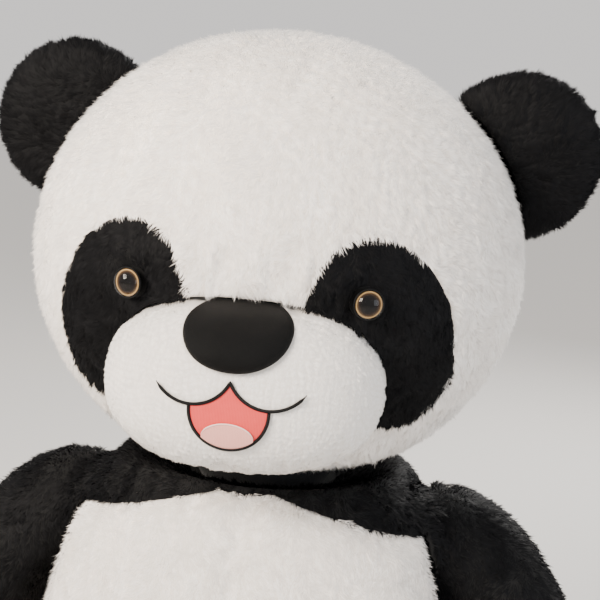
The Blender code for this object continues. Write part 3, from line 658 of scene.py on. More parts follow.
lens_look, iris_look = lens_finish(), iris_finish()
EYE_RADIUS, EYE_DOME = 0.0112, 0.0074
for name in ("left", "right"):
    turn = eye_frames[name]
    iris_middle = sum(map(np.array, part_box(f"eye_iris_{name}"))) / 2
    bowl = [(0, -0.0004), (0.0106, -0.0004), (0.0106, 0.0), (0.0095, 0.0002), (0.0060, 0.0000), (0.0, 0.0)]
    points, faces = closed_rings(turned_rings(bowl))
    iris = made_piece(f"iris_{name}", points @ turn.T + iris_middle, faces, disc_map(points, faces, 0.0106))
    iris.data.materials.append(iris_look)
    rise = np.linspace(0, math.pi / 2, 20)
    dome = [(EYE_RADIUS * math.cos(a), EYE_DOME * math.sin(a)) for a in rise[:-1]] + [(0.0, EYE_DOME)]
    lens_seat = iris_middle + turn[:, 2] * 0.0006
    points, faces = closed_rings(turned_rings([(0.0, 0.0), (EYE_RADIUS - 0.0004, 0.0), *dome]))
    lens = made_piece(f"lens_{name}", points @ turn.T + lens_seat, faces)
    lens.data.materials.append(lens_look)
    rim = [(0.0, -0.0022), (0.0100, -0.0022), (0.0117, -0.0014), (0.0121, 0.0002), (0.0117, 0.0010),
           (0.0110, 0.0008),
           (0.0108, -0.0006), (0.0, -0.0006)]
    points, faces = closed_rings(turned_rings(rim))
    cup = made_piece(f"eye_cup_{name}", points @ turn.T + iris_middle, faces)
    for shape, slot, nodes in ((iris, "amber_print", [f"eye_iris_{name}"]),
                               (lens, "clear_acrylic", [f"eye_lens_{name}"]), (cup, "black_plastic", [])):
        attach(shape, "head")
        if nodes:
            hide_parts(*nodes)


def moulded_finish(name, colour, roughness, shine=0.5):
    """Injection-moulded plastic: a faint orange-peel skin, a little uneven in gloss."""
    made, wire, inputs = finish_of(name, {"Base Color": (*colour, 1), "Specular IOR Level": shine})
    place = place_of(wire)
    feed(
        inputs,
        roughness=place.noise(300.0, 2.0) * 0.15 + (roughness - 0.07),
        normal=wire.node("ShaderNodeBump", strength=0.15, distance=0.0003, height=place.noise(1500.0, 2.0)),
    )
    return made


black_moulded = moulded_finish("black moulded plastic", (0.004, 0.004, 0.004), 0.5, 0.15)
for name in ("left", "right"):
    frame["nodes"][f"eye_stem_{name}"].data.materials[0] = black_moulded
    frame["nodes"][f"eye_washer_{name}"].data.materials[0] = black_moulded
    bpy.data.objects[f"eye_cup_{name}"].data.materials.append(black_moulded)

# ---------------------------------------------------------------- muzzle
# A padded oval of short smooth plush, sewn to the face round its edge. It is fullest at the nose, and the
# stuffing draws soft dimples towards its seam.

muzzle_depth = head_centre[1] - 0.130 - muzzle_low.y
muzzle_centre = np.array((0.0, head_centre[1] - 0.130, muzzle_middle[1]))


def facing_front(grid, centre):
    """Turns a form's +Z to the front, -Y, and its +Y up, and moves it to its centre."""
    return np.stack([grid[..., 0], -grid[..., 2], grid[..., 1]], axis=-1) + centre


def muzzle_surface_y(x, z, lift=0.0):
    """How far forward the muzzle reaches at x and z, lifted off it."""
    half = muzzle_half + lift
    section = (np.abs(x) / half[0]) ** MUZZLE_POWER + (np.abs(z - muzzle_middle[1]) / half[1]) ** MUZZLE_POWER
    share = np.clip(1 - section ** (MUZZLE_FULLNESS / MUZZLE_POWER), 0, 1) ** (1 / MUZZLE_FULLNESS)
    return muzzle_centre[1] - (muzzle_depth + lift) * share


def muzzle_held(points):
    """The muzzle is held at its seam."""
    near_seam = dip(points[:, 1] - (muzzle_centre[1] - 0.012), 0.03)
    return near_seam * 0.8 + (points[:, 1] > muzzle_centre[1]) * 0.2


MUZZLE_SWELL = 0.003
muzzle_radii = (muzzle_half[0] - MUZZLE_SWELL, muzzle_half[1] - MUZZLE_SWELL, muzzle_depth - MUZZLE_SWELL)
muzzle_grid = ball_grid(muzzle_radii, MUZZLE_FULLNESS, MUZZLE_POWER, 60, 110)
muzzle_form, muzzle_faces = closed_rings(facing_front(muzzle_grid, muzzle_centre))
muzzle_points, muzzle_triangles = stuffed((muzzle_form, muzzle_faces), muzzle_held, 0.0045, most=MUZZLE_SWELL)
behind_face = head_scale(muzzle_points) < 0.90
muzzle_points[behind_face, 1] = np.minimum(muzzle_points[behind_face, 1], head_centre[1] - 0.09)


def short_plush_finish(name, dark, light, grain, depth, steady):
    """Short dense pile: a fine grain of fibre ends over broad soft patches where it has been stroked."""
    made, wire, inputs = finish_of(name, steady)
    place = place_of(wire)
    stroked = place.noise(28.0, 3.0)
    ends = place.noise(grain, 3.0, 0.65)
    feed(
        inputs,
        base_color=(stroked * 0.5 + ends * 0.5).between(dark, light),
        normal=wire.node("ShaderNodeBump", strength=0.6, distance=depth, height=ends + stroked * 0.6),
    )
    return made


muzzle_look = short_plush_finish(
    "muzzle plush", (0.80, 0.75, 0.69), (0.92, 0.88, 0.83), 1100.0, 0.0009,
    {"Roughness": 0.8, "Sheen Weight": 0.35, "Sheen Roughness": 0.35},
)
muzzle = made_piece("muzzle", muzzle_points, [muzzle_triangles])
muzzle.data.materials.append(muzzle_look)
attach(muzzle, "head")
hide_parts("muzzle_skin", "muzzle_stuffing")

# ---------------------------------------------------------------- nose
# A cushion of black velour, wide at the top and narrower below, padded and stitched down on the muzzle.

nose_low, nose_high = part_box("nose_cover")
nose_half = np.array((nose_high.x, (nose_high.z - nose_low.z) / 2))
nose_middle_z = (nose_low.z + nose_high.z) / 2
NOSE_TAPER, NOSE_HALF_DEPTH = 0.16, 0.021
nose_radii = (nose_half[0] / (1 + NOSE_TAPER * 0.30), nose_half[1], NOSE_HALF_DEPTH)
nose_grid = ball_grid(nose_radii, 2.4, 2.2, 60, 90)
nose_grid[..., 0] *= 1 + NOSE_TAPER * nose_grid[..., 1] / nose_half[1]
NOSE_HIGH = muzzle_surface_y(0.0, nose_middle_z) - nose_low.y
nose_x, nose_z = nose_grid[..., 0], nose_middle_z + nose_grid[..., 1]
nose_lift = nose_grid[..., 2] * np.where(nose_grid[..., 2] > 0, NOSE_HIGH, 0.3 * NOSE_HIGH) / NOSE_HALF_DEPTH
nose_grid = np.stack([nose_x, muzzle_surface_y(nose_x, nose_z) - nose_lift, nose_z], axis=-1)
nose_form, nose_faces = closed_rings(nose_grid)
nose_form[:, 1] += 0.0008 * ripple(nose_form, 0.035, 5)
nose = made_piece("nose", nose_form, nose_faces)
velour_look = short_plush_finish(
    "nose velour", (0.0008, 0.0008, 0.0008), (0.007, 0.007, 0.007), 1300.0, 0.0009,
    {"Roughness": 0.7, "Sheen Weight": 0.01, "Sheen Roughness": 0.3, "Specular IOR Level": 0.12},
)
nose.data.materials.append(velour_look)
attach(nose, "head")
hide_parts("nose_cover", "nose_padding")

# ---------------------------------------------------------------- mouth
# The open mouth is a coral satin applique with a paler tongue, both bound by black satin stitch. The upper
# lip is one line of it: two arcs that meet in a point under the nose.

LIP_RADIUS, LIP_MIDDLE_X, SMILE_HALF_WIDTH = 0.032, 0.029, 0.055
lower_low, lower_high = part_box("lower_lip_thread")
upper_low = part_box("upper_lip_thread")[0]
THREAD = 0.0012
lip_low_z = upper_low.z + THREAD
mouth_half = lower_high.x - THREAD
mouth_top_z, mouth_floor_z = lower_high.z, lower_low.z + THREAD


def smile_z(x):
    """The upper lip: on each side an arc of one radius about a middle above it."""
    return lip_low_z + LIP_RADIUS - np.sqrt(LIP_RADIUS**2 - (np.abs(x) - LIP_MIDDLE_X) ** 2)


def lower_lip_z(x, inset=0.0):
    """The lower lip: a half ellipse that hangs from the smile's lowest points."""
    half = mouth_half - inset
    return mouth_top_z - (mouth_top_z - mouth_floor_z - inset) * np.sqrt(np.clip(1 - (x / half) ** 2, 0, 1))


def applique(name, low_z, high_z, half, lift, thick, columns=72, rows=30):
    """A patch laid on the muzzle between two curves of x, with its edges turned under; its map is x and z."""
    x = np.sin(np.linspace(-math.pi / 2, math.pi / 2, columns)) * half
    share = np.linspace(0, 1, rows)[:, None]
    z = low_z(x) * (1 - share) + high_z(x) * share
    x = np.broadcast_to(x, z.shape)
    quilted = thick * np.clip(np.minimum(share, 1 - share) * 14, 0, 1) ** 0.5
    top = np.stack([x, muzzle_surface_y(x, z, lift) - quilted, z], axis=-1).reshape(-1, 3)
    index = np.arange(rows * columns).reshape(rows, columns)
    quads = np.stack([index[:-1, :-1], index[:-1, 1:], index[1:, 1:], index[1:, :-1]], -1).reshape(-1, 4)
    flat = np.column_stack([top[:, 0] / 0.08 + 0.5, (top[:, 2] - mouth_floor_z) / 0.08])
    made = made_piece(name, top, [quads], flat[quads.ravel()])
    wall = made.modifiers.new("cloth thickness", "SOLIDIFY")
    wall.thickness = 0.0006
    wall.offset = -1.0
    return made


def satin_finish(name, dark, light, pitch=0.0011):
    """Satin stitch: close rows of parallel thread, with a silky shine along them."""
    made, wire, inputs = finish_of(
        name, {"Roughness": 0.55, "Sheen Weight": 0.05, "Specular IOR Level": 0.2}
    )
    place = place_of(wire)
    rows = wire.node("ShaderNodeTexWave", {"bands_direction": "X"}, vector=place, scale=1 / pitch / 3.2,
                     distortion=0.5, detail=2.0, output=1)
    feed(
        inputs,
        base_color=(rows * 0.5 + place.noise(200.0) * 0.5).between(dark, light),
        normal=wire.node("ShaderNodeBump", strength=0.35, distance=0.0003, height=rows),
    )
    return made


lining = applique("mouth_lining_patch", lower_lip_z, smile_z, mouth_half, 0.0008, 0.0008)
lining.data.materials.append(satin_finish("coral satin", (0.72, 0.055, 0.055), (0.88, 0.10, 0.085)))
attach(lining, "head")
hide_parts("mouth_lining")

tongue_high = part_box("tongue_applique")[1]
TONGUE_HALF = tongue_high.x


def tongue_top_z(x):
    """The tongue's back: a low arch whose ends come down on the lower lip."""
    arch = np.sqrt(np.clip(1 - (x / (TONGUE_HALF * 1.02)) ** 2, 0, 1))
    foot = lower_lip_z(np.array(TONGUE_HALF), 0.001)
    return foot + (tongue_high.z - foot) * arch


tongue = applique("tongue_patch", lambda x: lower_lip_z(x, 0.0008), tongue_top_z, TONGUE_HALF, 0.0022, 0.0008)
tongue.data.materials.append(satin_finish("tongue satin", (0.84, 0.36, 0.31), (0.93, 0.48, 0.41)))
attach(tongue, "head")
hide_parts("tongue_applique")


def stitched_line(name, x, z, lift, width, high, ends=True):
    """A line of satin stitch: a low rounded band carried along x and z on the muzzle, pinched to its ends.

    Its map runs along the line in metres, for the slant of the thread.
    """
    path = np.stack([x, muzzle_surface_y(x, z, lift), z], axis=-1)
    along = np.gradient(path, axis=0)
    along /= np.linalg.norm(along, axis=1)[:, None]
    out = np.array((0.0, -1.0, 0.0)) - along * (along @ np.array((0.0, -1.0, 0.0)))[:, None]
    out /= np.linalg.norm(out, axis=1)[:, None]
    beside = np.cross(along, out)
    run = np.concatenate([[0], np.cumsum(np.linalg.norm(np.diff(path, axis=0), axis=1))])
    taper = np.clip(np.minimum(run, run[-1] - run) / 0.006, 0.25, 1) if ends else np.ones(len(run))
    turn = np.linspace(0, 2 * math.pi, 14, endpoint=False)
    across = (width * taper)[:, None, None] * np.cos(turn)[None, :, None] * beside[:, None]
    upward = high * taper[:, None, None] * np.sin(turn)[None, :, None] * out[:, None]
    rings = path[:, None] + across + upward
    rings = np.concatenate([path[:1, None] + 0 * rings[:1], rings, path[-1:, None] + 0 * rings[-1:]])
    points, faces = closed_rings(rings[:, ::-1])
    run = np.concatenate([[0], np.repeat(run, 14), [run[-1]]])
    spin = np.concatenate([[0], np.tile(turn[::-1], len(path)), [0]])
    place = np.column_stack([run / 0.15, spin / 7 + 0.02])
    return made_piece(name, points, faces, np.concatenate([place[np.ravel(g)] for g in faces]))


def thread_finish():
    """Black embroidery thread: slanting strands across the line, each one glossy."""
    made, wire, inputs = finish_of("black satin stitch", {"Roughness": 0.42, "Specular IOR Level": 0.2})
    flat = wire.node("ShaderNodeUVMap", {"uv_map": "OFBake"})
    slant = wire.sum_node("SINE", flat.part(0) * 1700.0 + flat.part(1) * 9.0, 0.0)
    strands = slant * 0.5 + 0.5
    feed(
        inputs,
        base_color=strands.between((0.001, 0.001, 0.001), (0.006, 0.005, 0.005)),
        normal=wire.node("ShaderNodeBump", strength=0.6, distance=0.0003, height=strands),
    )
    return made


thread_look = thread_finish()
smile_x = np.linspace(-SMILE_HALF_WIDTH, SMILE_HALF_WIDTH, 161)
upper_lip = stitched_line("upper_lip_line", smile_x, smile_z(smile_x), 0.0018, 0.0013, 0.0012)
around = np.linspace(math.pi - 0.05, 2 * math.pi + 0.05, 121)
lip_x = mouth_half * np.cos(around)
lip_z = mouth_top_z + (mouth_top_z - mouth_floor_z) * np.sin(around)
lower_lip = stitched_line("lower_lip_line", lip_x, lip_z, 0.0018, 0.0013, 0.0012, ends=False)
# A pale raised line along the tongue's arched top: its pale colour is a painted highlight on the tongue's
# edge, made as a line of stitch.
tongue_x = np.linspace(-TONGUE_HALF, TONGUE_HALF, 81)
tongue_edge = stitched_line("tongue_edge", tongue_x, tongue_top_z(tongue_x), 0.0030, 0.0006, 0.0006)
tongue_edge.data.materials.append(satin_finish("pale satin stitch", (0.90, 0.62, 0.55), (0.95, 0.74, 0.68)))
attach(tongue_edge, "head")
for line, node in ((upper_lip, "upper_lip_thread"), (lower_lip, "lower_lip_thread")):
    line.data.materials.append(thread_look)
    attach(line, "head")
    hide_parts(node)



def bare_muzzle(points):
    """Over 0 on the muzzle where neither the nose nor the mouth is sewn on it, and clear of the face."""
    x, z = np.abs(points[:, 0]), points[:, 2]
    nose_edge = (np.hypot(x / nose_half[0], (z - nose_middle_z) / nose_half[1]) - 0.98) * 0.03
    lip_x = np.minimum(x, SMILE_HALF_WIDTH)
    mouth_edge = np.maximum.reduce([x - mouth_half, lower_lip_z(lip_x) - z, z - smile_z(lip_x)])
    ahead = (head_scale(points) - 0.985) * 0.2
    return np.minimum.reduce([nose_edge, mouth_edge, ahead, muzzle_centre[1] - points[:, 1]])


# The first colour is the root, darker than the tips: painted shade at the foot of the muzzle's pile.
velvet_pile_root_shade = pile_finish(
    "muzzle pile", (0.84, 0.79, 0.74), (0.89, 0.855, 0.815), (0.945, 0.92, 0.89), WHITE_LOOK
)
muzzle_pile = combed("muzzle_pile", (muzzle_points, muzzle_triangles), 60000, bare_muzzle, 35, nap_of_head,
                     length=0.0028, lean=66.0, tuft=0.0045, width=0.00055)
dress(None, muzzle_pile, "head", None, velvet_pile_root_shade)

# ---------------------------------------------------------------- ears
# Each ear is two black discs seamed at the rim round a flat filling. Its open base is sewn in a curve to
# the head, so it stands up from the head's surface.

EAR_THICK, EAR_ROOM = 0.052, 0.005


def ear_shape(side):
    """A stuffed disc, its rim held in by the seam, and whatever would lie in the head moved out to it."""
    low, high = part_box("ear_front_skin_left")
    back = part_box("ear_back_skin_left")[1]
    radius = 0.076
    centre = np.array((high.x - radius, (low.y + back.y) / 2, high.z - radius))
    shrink = PILE_ROOM + STUFFED
    form = ball_grid((radius - shrink, radius - shrink, EAR_THICK / 2 - shrink), 2.3, 2.0, 40, 90)
    points, faces = closed_rings(facing_front(form, centre))

    def rim(places):
        return dip(places[:, 1] - centre[1], 0.008) * 0.7 * (head_scale(places, 0.02) > 1)

    points, triangles = stuffed((points, faces), rim, 0.005)
    scale = head_scale(points, EAR_ROOM + PILE_ROOM)
    inside = scale < 1
    points[inside] = head_centre + (points[inside] - head_centre) / scale[inside, None]
    points[:, 0] *= side
    if side < 0:
        triangles = triangles[:, ::-1]
    return points, triangles, centre[1]


for name, side, seed in (("left", 1, 41), ("right", -1, 51)):
    ear_points, ear_triangles, rim_y = ear_shape(side)

    def before_rim(points, rim=rim_y):
        return rim - points[:, 1]

    def behind_rim(points, rim=rim_y):
        return points[:, 1] - rim

    ear_points = snapped(ear_points, ear_triangles, behind_rim)
    middle_of_ear = np.array((side * 0.199, rim_y, head_centre[2] + 0.102))

    def fans_out(root, up, middle=middle_of_ear):
        """The nap of an ear runs from its base outwards over the rim."""
        return (root - middle) + np.array((np.sign(middle[0]) * 0.03, 0.0, 0.015))

    def clear_of_head(level):
        def clear(points):
            beyond = (head_scale(points, EAR_ROOM + PILE_ROOM) - 1.003) * 0.2
            edge = np.abs(points[:, 1] - rim_y) - EAR_THICK / 2 + 0.018
            return np.minimum(level(points), np.maximum(beyond, edge))

        return clear

    for half, level, node in (("front", before_rim, "ear_front_skin"), ("back", behind_rim, "ear_back_skin")):
        skin = panel(f"ear_{half}_{name}", ear_points, ear_triangles, level)
        ear_skin = (ear_points, ear_triangles)
        fur = combed(f"ear_{half}_pile_{name}", ear_skin, 20000, clear_of_head(level), seed, fans_out,
                     length=0.0095, lean=50.0, width=0.0009)
        nodes = [f"{node}_{name}"] + ([f"ear_stuffing_{name}"] if half == "front" else [])
        dress(skin, fur, f"ear_{name}", black_backing, black_pile_root_shade, nodes)
        seed += 1

# ---------------------------------------------------------------- neck
# A short black sleeve of smooth plush, stuffed to a ball that the head nods on; its foot turns in the yoke.

neck_stem_radius = 0.052
joins = math.pi - math.asin(neck_stem_radius / neck_radius)
neck_profile = [(neck_radius * math.sin(a), neck_radius * math.cos(a)) for a in np.linspace(0, joins, 30)]
stem_heights = np.linspace(neck_profile[-1][1], neck_low.z - neck_pivot[2] + 0.003, 10)[1:]
neck_profile += [(neck_stem_radius, h) for h in stem_heights]
neck_profile += [(neck_stem_radius - 0.004, neck_low.z - neck_pivot[2]), (0.0, neck_low.z - neck_pivot[2])]
neck_points, neck_faces = closed_rings(turned_rings(neck_profile[::-1], 72) * 0.985 + neck_pivot)
neck = made_piece("neck", neck_points, neck_faces)
short_black = short_plush_finish(
    "short black plush", (0.001, 0.001, 0.001), (0.006, 0.006, 0.007), 900.0, 0.001,
    {"Roughness": 0.7, "Sheen Weight": 0.15, "Sheen Roughness": 0.35},
)
dress(neck, None, "neck", short_black, None, ["neck_skin", "neck_stuffing"])

# ---------------------------------------------------------------- torso
# The body is one stuffed bag of four panels: a black yoke that goes over the shoulders to a point under the
# chin, a white belly and back below it, and a flat seat. A soft crease runs down the belly from the point.

belly_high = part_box("belly_panel")[1]
yoke_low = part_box("yoke_skin")[0]
TORSO_TOP, TORSO_BURIED = 0.395, 0.045
HIPS, SHOULDERS = np.array((0.205, 0.175)), np.array((0.186, 0.150))
ARM_RADIUS, PAW_RADIUS = 0.055, 0.053
LEG_RADIUS = 0.068
shoulder = pivots["shoulder_left"]
hip = pivots["hip_left"]
arm_low, arm_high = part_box("arm_skin_left")
paw = np.array((arm_high.x - PAW_RADIUS - 0.0005, arm_low.y + PAW_RADIUS, arm_low.z + PAW_RADIUS))
arm_bend = np.array((0.244, 0.004, 0.268))


def curve_to(start, middle, end, count):
    """Points along the curve that leaves start towards middle and comes to end from it."""
    t = np.linspace(0, 1, count)[:, None]
    return (1 - t) ** 2 * start + 2 * t * (1 - t) * middle + t**2 * end


arm_path = curve_to(shoulder, arm_bend, paw, 24)


def arm_room_x(points, clearance=0.003):
    """How far out the torso may reach beside an arm, by the distance from the shoulder's axis.

    Near the axis it is the ball of the arm's root, and further out the arm's inner side as it swings.
    """
    ball = ARM_RADIUS + clearance
    along = np.gradient(arm_path, axis=0)[:, [0, 2]]
    along /= np.linalg.norm(along, axis=1)[:, None]
    inner_x, inner_z = arm_path[:, 0] + along[:, 1] * ball, arm_path[:, 2] - along[:, 0] * ball
    start = math.atan2(along[0, 0], -along[0, 1])
    angle = np.linspace(0, start, 12)
    reach = np.concatenate([ball * np.sin(angle), (shoulder[2] - inner_z)[1:]])
    limit = np.concatenate([shoulder[0] - ball * np.cos(angle), inner_x[1:]])
    order = np.argsort(reach)
    off_axis = np.hypot(points[:, 1] - shoulder[1], points[:, 2] - shoulder[2])
    return np.interp(off_axis, reach[order], limit[order], right=9.0)


def roomy(points, grow):
    """Torso points moved clear of the arms, and clear of the legs and the head by the swell to come, grow."""
    points = points.copy()
    limit = arm_room_x(points, 0.003)
    points[:, 0] = np.sign(points[:, 0]) * np.minimum(np.abs(points[:, 0]), limit)
    reach = LEG_RADIUS + 0.006 + grow
    high = np.clip(points[:, 2] - hip[2], 0, None)
    off = np.hypot(np.abs(points[:, 0]) - hip[0] - 0.01, (points[:, 2] - hip[2]) - high * 0.14)
    pocket = hip[1] + np.sqrt(np.clip(reach**2 - off**2, 0, None))
    in_pocket = (off < reach) & (points[:, 1] < 0)
    points[in_pocket, 1] = np.maximum(points[in_pocket, 1], pocket[in_pocket])
    scale = head_scale(points, 0.010 + grow)
    under_head = scale < 1
    points[under_head] = head_centre + (points[under_head] - head_centre) / scale[under_head, None]
    return points


BIB_CORNER, BIB_SIDE, BIB_EDGE_X = (0.150, 0.326), (0.174, 0.258), 0.202
NECK_OPENING, NECK_OPENING_Z = 0.098, 0.30


def bib_level(points):
    """Over 0 in the white: how far a point is below the yoke's edge, which is straight between corners."""
    corners_x = [0, BIB_CORNER[0], BIB_SIDE[0], BIB_EDGE_X]
    edge = np.interp(np.abs(points[:, 0]), corners_x, [belly_high.z, BIB_CORNER[1], BIB_SIDE[1], yoke_low.z])
    edge = np.where(points[:, 1] < 0, edge, yoke_low.z)
    from_opening = np.hypot(points[:, 0], points[:, 1]) - NECK_OPENING
    outside_neck = np.where(points[:, 2] > NECK_OPENING_Z, from_opening, 1.0)
    return np.minimum(edge - points[:, 2], outside_neck)


def torso_held(points):
    """Seams hold the torso in at the yoke's edge, the belly's middle, the seat and the arms."""
    yoke_edge = dip(bib_level(points), 0.009) * 0.7
    middle = dip(points[:, 0], 0.012) * (points[:, 2] > 0.06) * 0.55 * (bib_level(points) > 0)
    seat = dip(points[:, 2] - 0.012, 0.016) * 0.5 + (points[:, 2] < 0.008)
    arms = np.abs(points[:, 0]) > arm_room_x(points, 0.012)
    return np.clip(np.maximum.reduce([yoke_edge, middle, seat, arms * 1.0]), 0, 1)


torso_shrink = PILE_ROOM + STUFFED
half = (TORSO_TOP + TORSO_BURIED) / 2
torso_grid = ball_grid((1.0, 1.0, 1.0), 3.0, 2.3, 76, 120)
rising = (torso_grid[..., 2] + 1) / 2
for axis in (0, 1):
    torso_grid[..., axis] *= HIPS[axis] + (SHOULDERS[axis] - HIPS[axis]) * rising - torso_shrink
torso_grid[..., 2] = torso_grid[..., 2] * (half - torso_shrink) + half - TORSO_BURIED
torso_form, torso_faces = closed_rings(torso_grid)
torso_form = roomy(torso_form, STUFFED)
torso_form[:, 2] = np.maximum(torso_form[:, 2], 0.003)
torso_points, torso_triangles = stuffed((torso_form, torso_faces), torso_held)
torso_points[:, 2] = np.maximum(torso_points[:, 2], 0.0008)


def on_yoke(points):
    return -bib_level(points)


def on_seat(points):
    return 0.0055 - points[:, 2]


def on_belly(points):
    return np.minimum.reduce([bib_level(points), -points[:, 1], points[:, 2] - 0.0055])


def on_rear(points):
    return np.minimum.reduce([bib_level(points), points[:, 1], points[:, 2] - 0.0055])


for border in (bib_level, on_seat, lambda points: np.where(bib_level(points) > 0, points[:, 1], 1.0)):
    torso_points = snapped(torso_points, torso_triangles, border)
torso_skin = (torso_points, torso_triangles)


def in_the_open(level):
    """Pile is left off where the arms and the legs lie in the torso, and under the middle of the head."""

    def clear(points):
        arms = arm_room_x(points, -0.004) - np.abs(points[:, 0])
        legs = np.hypot(np.abs(points[:, 0]) - hip[0], points[:, 2] - hip[2]) - LEG_RADIUS + 0.012
        legs = np.where(points[:, 1] < 0, legs, 1.0)
        from_stem = np.hypot(points[:, 0], points[:, 1]) - neck_stem_radius - 0.012
        under_head = np.where(points[:, 2] > 0.3, from_stem, 1.0)
        return np.minimum.reduce([level(points), arms, legs, under_head])

    return clear


def nap_of_yoke(root, up):
    """The nap of the yoke runs from the neck outwards over the shoulders and then down."""
    away = root - np.array((0.0, 0.0, 0.30))
    away[:, 2] = -0.06
    return away


yoke = panel("yoke", torso_points, torso_triangles, on_yoke)
yoke_pile = combed("yoke_pile", torso_skin, 60000, in_the_open(on_yoke), 61, nap_of_yoke, width=0.0009)
dress(yoke, yoke_pile, "torso", black_backing, black_pile_root_shade, ["yoke_skin", "torso_stuffing"])
belly = panel("belly", torso_points, torso_triangles, on_belly)
belly_pile = combed("belly_pile", torso_skin, 88000, in_the_open(on_belly), 62, floor=0.0006)
dress(belly, belly_pile, "torso", white_backing_painted_shade, white_pile_root_shade, ["belly_panel"])
rear = panel("rear", torso_points, torso_triangles, on_rear)
rear_pile = combed("rear_pile", torso_skin, 60000, in_the_open(on_rear), 63, width=0.001, floor=0.0006)
dress(rear, rear_pile, "torso", white_backing_painted_shade, white_pile_root_shade, ["back_panel"])
seat = panel("seat", torso_points, torso_triangles, on_seat, 0.0015)
short_white = short_plush_finish(
    "short white plush", (0.66, 0.61, 0.56), (0.82, 0.78, 0.73), 900.0, 0.001,
    {"Roughness": 0.85, "Sheen Weight": 0.2, "Sheen Roughness": 0.4},
)
dress(seat, None, "torso", short_white, None, ["seat_panel"])

# ---------------------------------------------------------------- tail, label and closing seam
# A round white tail is sewn low on the back. A blank ribbon label hangs from the seam beside it, and the gap
# that the stuffing went in by is closed with a ladder stitch of doubled thread.

tail_low, tail_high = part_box("tail_skin")
TAIL_RADIUS = 0.038
tail_middle = np.array((0.0, tail_high.y - TAIL_RADIUS, (tail_low.z + tail_high.z) / 2))
TAIL_SWELL = 0.004
tail_grid = ball_grid(np.full(3, TAIL_RADIUS - PILE_ROOM - TAIL_SWELL), rows=30, columns=50)
tail_form, tail_faces = closed_rings(tail_grid)
tail_points, tail_triangles = stuffed(
    (tail_form + tail_middle, tail_faces), lambda p: np.zeros(len(p)), 0.004, most=TAIL_SWELL
)
tail_points[:, 1] = np.maximum(tail_points[:, 1], tail_low.y - 0.002)
tail = made_piece("tail", tail_points, [tail_triangles])
tail_skin = (tail_points, tail_triangles)
tail_pile = combed("tail_pile", tail_skin, 10000, lambda p: p[:, 1] - tail_low.y - 0.001, 71,
                   lambda root, up: root - tail_middle + np.array((0.0, 0.01, -0.02)), lean=40.0)
dress(tail, tail_pile, "torso", white_backing_painted_shade, white_pile_root_shade, ["tail_skin", "tail_stuffing"])

label_low, label_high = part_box("care_label")
down = np.linspace(0, 1, 24)[:, None]
over = np.linspace(0, 1, 14)[None, :]
label_x = (label_low.x + label_high.x) / 2 + 0.0012 * np.sin(over * 3.0 + down) * over
label_y = label_low.y - 0.004 + (label_high.y - label_low.y + 0.002) * over + 0 * down
label_z = label_high.z - (label_high.z - label_low.z) * down - 0.002 * over
label_points = np.stack([label_x + 0 * label_y, label_y, label_z], axis=-1).reshape(-1, 3)
index = np.arange(24 * 14).reshape(24, 14)
label_faces = np.stack([index[:-1, :-1], index[:-1, 1:], index[1:, 1:], index[1:, :-1]], -1).reshape(-1, 4)
label = made_piece("label", label_points, [label_faces])
doubled = label.modifiers.new("doubled ribbon", "SOLIDIFY")
doubled.thickness = 0.0007
doubled.offset = 0.0


def ribbon_finish():
    """Woven polyester ribbon: fine warp and weft, with a dull silky shine."""
    made, wire, inputs = finish_of("label ribbon", {"Roughness": 0.45, "Sheen Weight": 0.1})
    place = place_of(wire)
    warp = wire.node("ShaderNodeTexWave", {"bands_direction": "Z"}, vector=place, scale=700.0, output=1)
    weft = wire.node("ShaderNodeTexWave", {"bands_direction": "Y"}, vector=place, scale=500.0, output=1)
    feed(
        inputs,
        base_color=(warp * weft).between((0.72, 0.70, 0.66), (0.84, 0.83, 0.80)),
        normal=wire.node("ShaderNodeBump", strength=0.3, distance=0.0002, height=warp + weft),
    )
    return made


label.data.materials.append(ribbon_finish())
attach(label, "torso")
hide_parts("care_label")


def sewing_thread_finish():
    """Doubled cotton thread: a fine twist, matt and a little warm."""
    made, wire, inputs = finish_of("sewing thread", {"Roughness": 0.7, "Sheen Weight": 0.2})
    place = place_of(wire)
    diagonal = {"bands_direction": "DIAGONAL"}
    twist = wire.node("ShaderNodeTexWave", diagonal, vector=place, scale=600.0, output=1)
    feed(
        inputs,
        base_color=twist.between((0.66, 0.62, 0.57), (0.82, 0.79, 0.74)),
        normal=wire.node("ShaderNodeBump", strength=0.4, distance=0.0002, height=twist),
    )
    return made


frame["nodes"]["closing_seam"].data.materials[0] = sewing_thread_finish()

# ---------------------------------------------------------------- arms
# The arms are black sleeves with rounded paws, stuffed a little slacker than the body, and set into the
# shoulders so that they hang down and swing.


def sleeve(path, across, upward, side_of, bulge=1.0, columns=72, ends=14):
    """Rings across a path: an ellipse of radii across and upward, with a dome at each end.

    The dome at the start is round, and that at the end rises bulge times its radius.
    """
    along = np.gradient(path, axis=0)
    along /= np.linalg.norm(along, axis=1)[:, None]
    beside = np.cross(along, np.array(side_of))
    beside /= np.linalg.norm(beside, axis=1)[:, None]
    over = np.cross(beside, along)
    first, last = np.linspace(-math.pi / 2, 0, ends)[:-1], np.linspace(0, math.pi / 2, ends)[1:]
    at = np.concatenate([np.zeros(ends - 1, int), np.arange(len(path)), np.full(ends - 1, len(path) - 1)])
    ahead = np.concatenate([np.sin(first), np.zeros(len(path)), np.sin(last) * bulge])
    spread = np.concatenate([np.cos(first), np.ones(len(path)), np.cos(last)])
    reach = np.minimum(across, upward)[at]
    middle = path[at] + along[at] * (reach * ahead)[:, None]
    turn = np.linspace(0, 2 * math.pi, columns, endpoint=False)
    ring = beside[at][:, None] * np.cos(turn)[:, None] * across[at][:, None, None]
    ring = ring + over[at][:, None] * np.sin(turn)[:, None] * upward[at][:, None, None]
    return middle[:, None] + ring * spread[:, None, None]


def facing_out(points, triangles):
    """The triangles turned over if the closed form they make is inside out."""
    volume = np.linalg.det(points[triangles]).sum()
    return triangles if volume > 0 else triangles[:, ::-1]


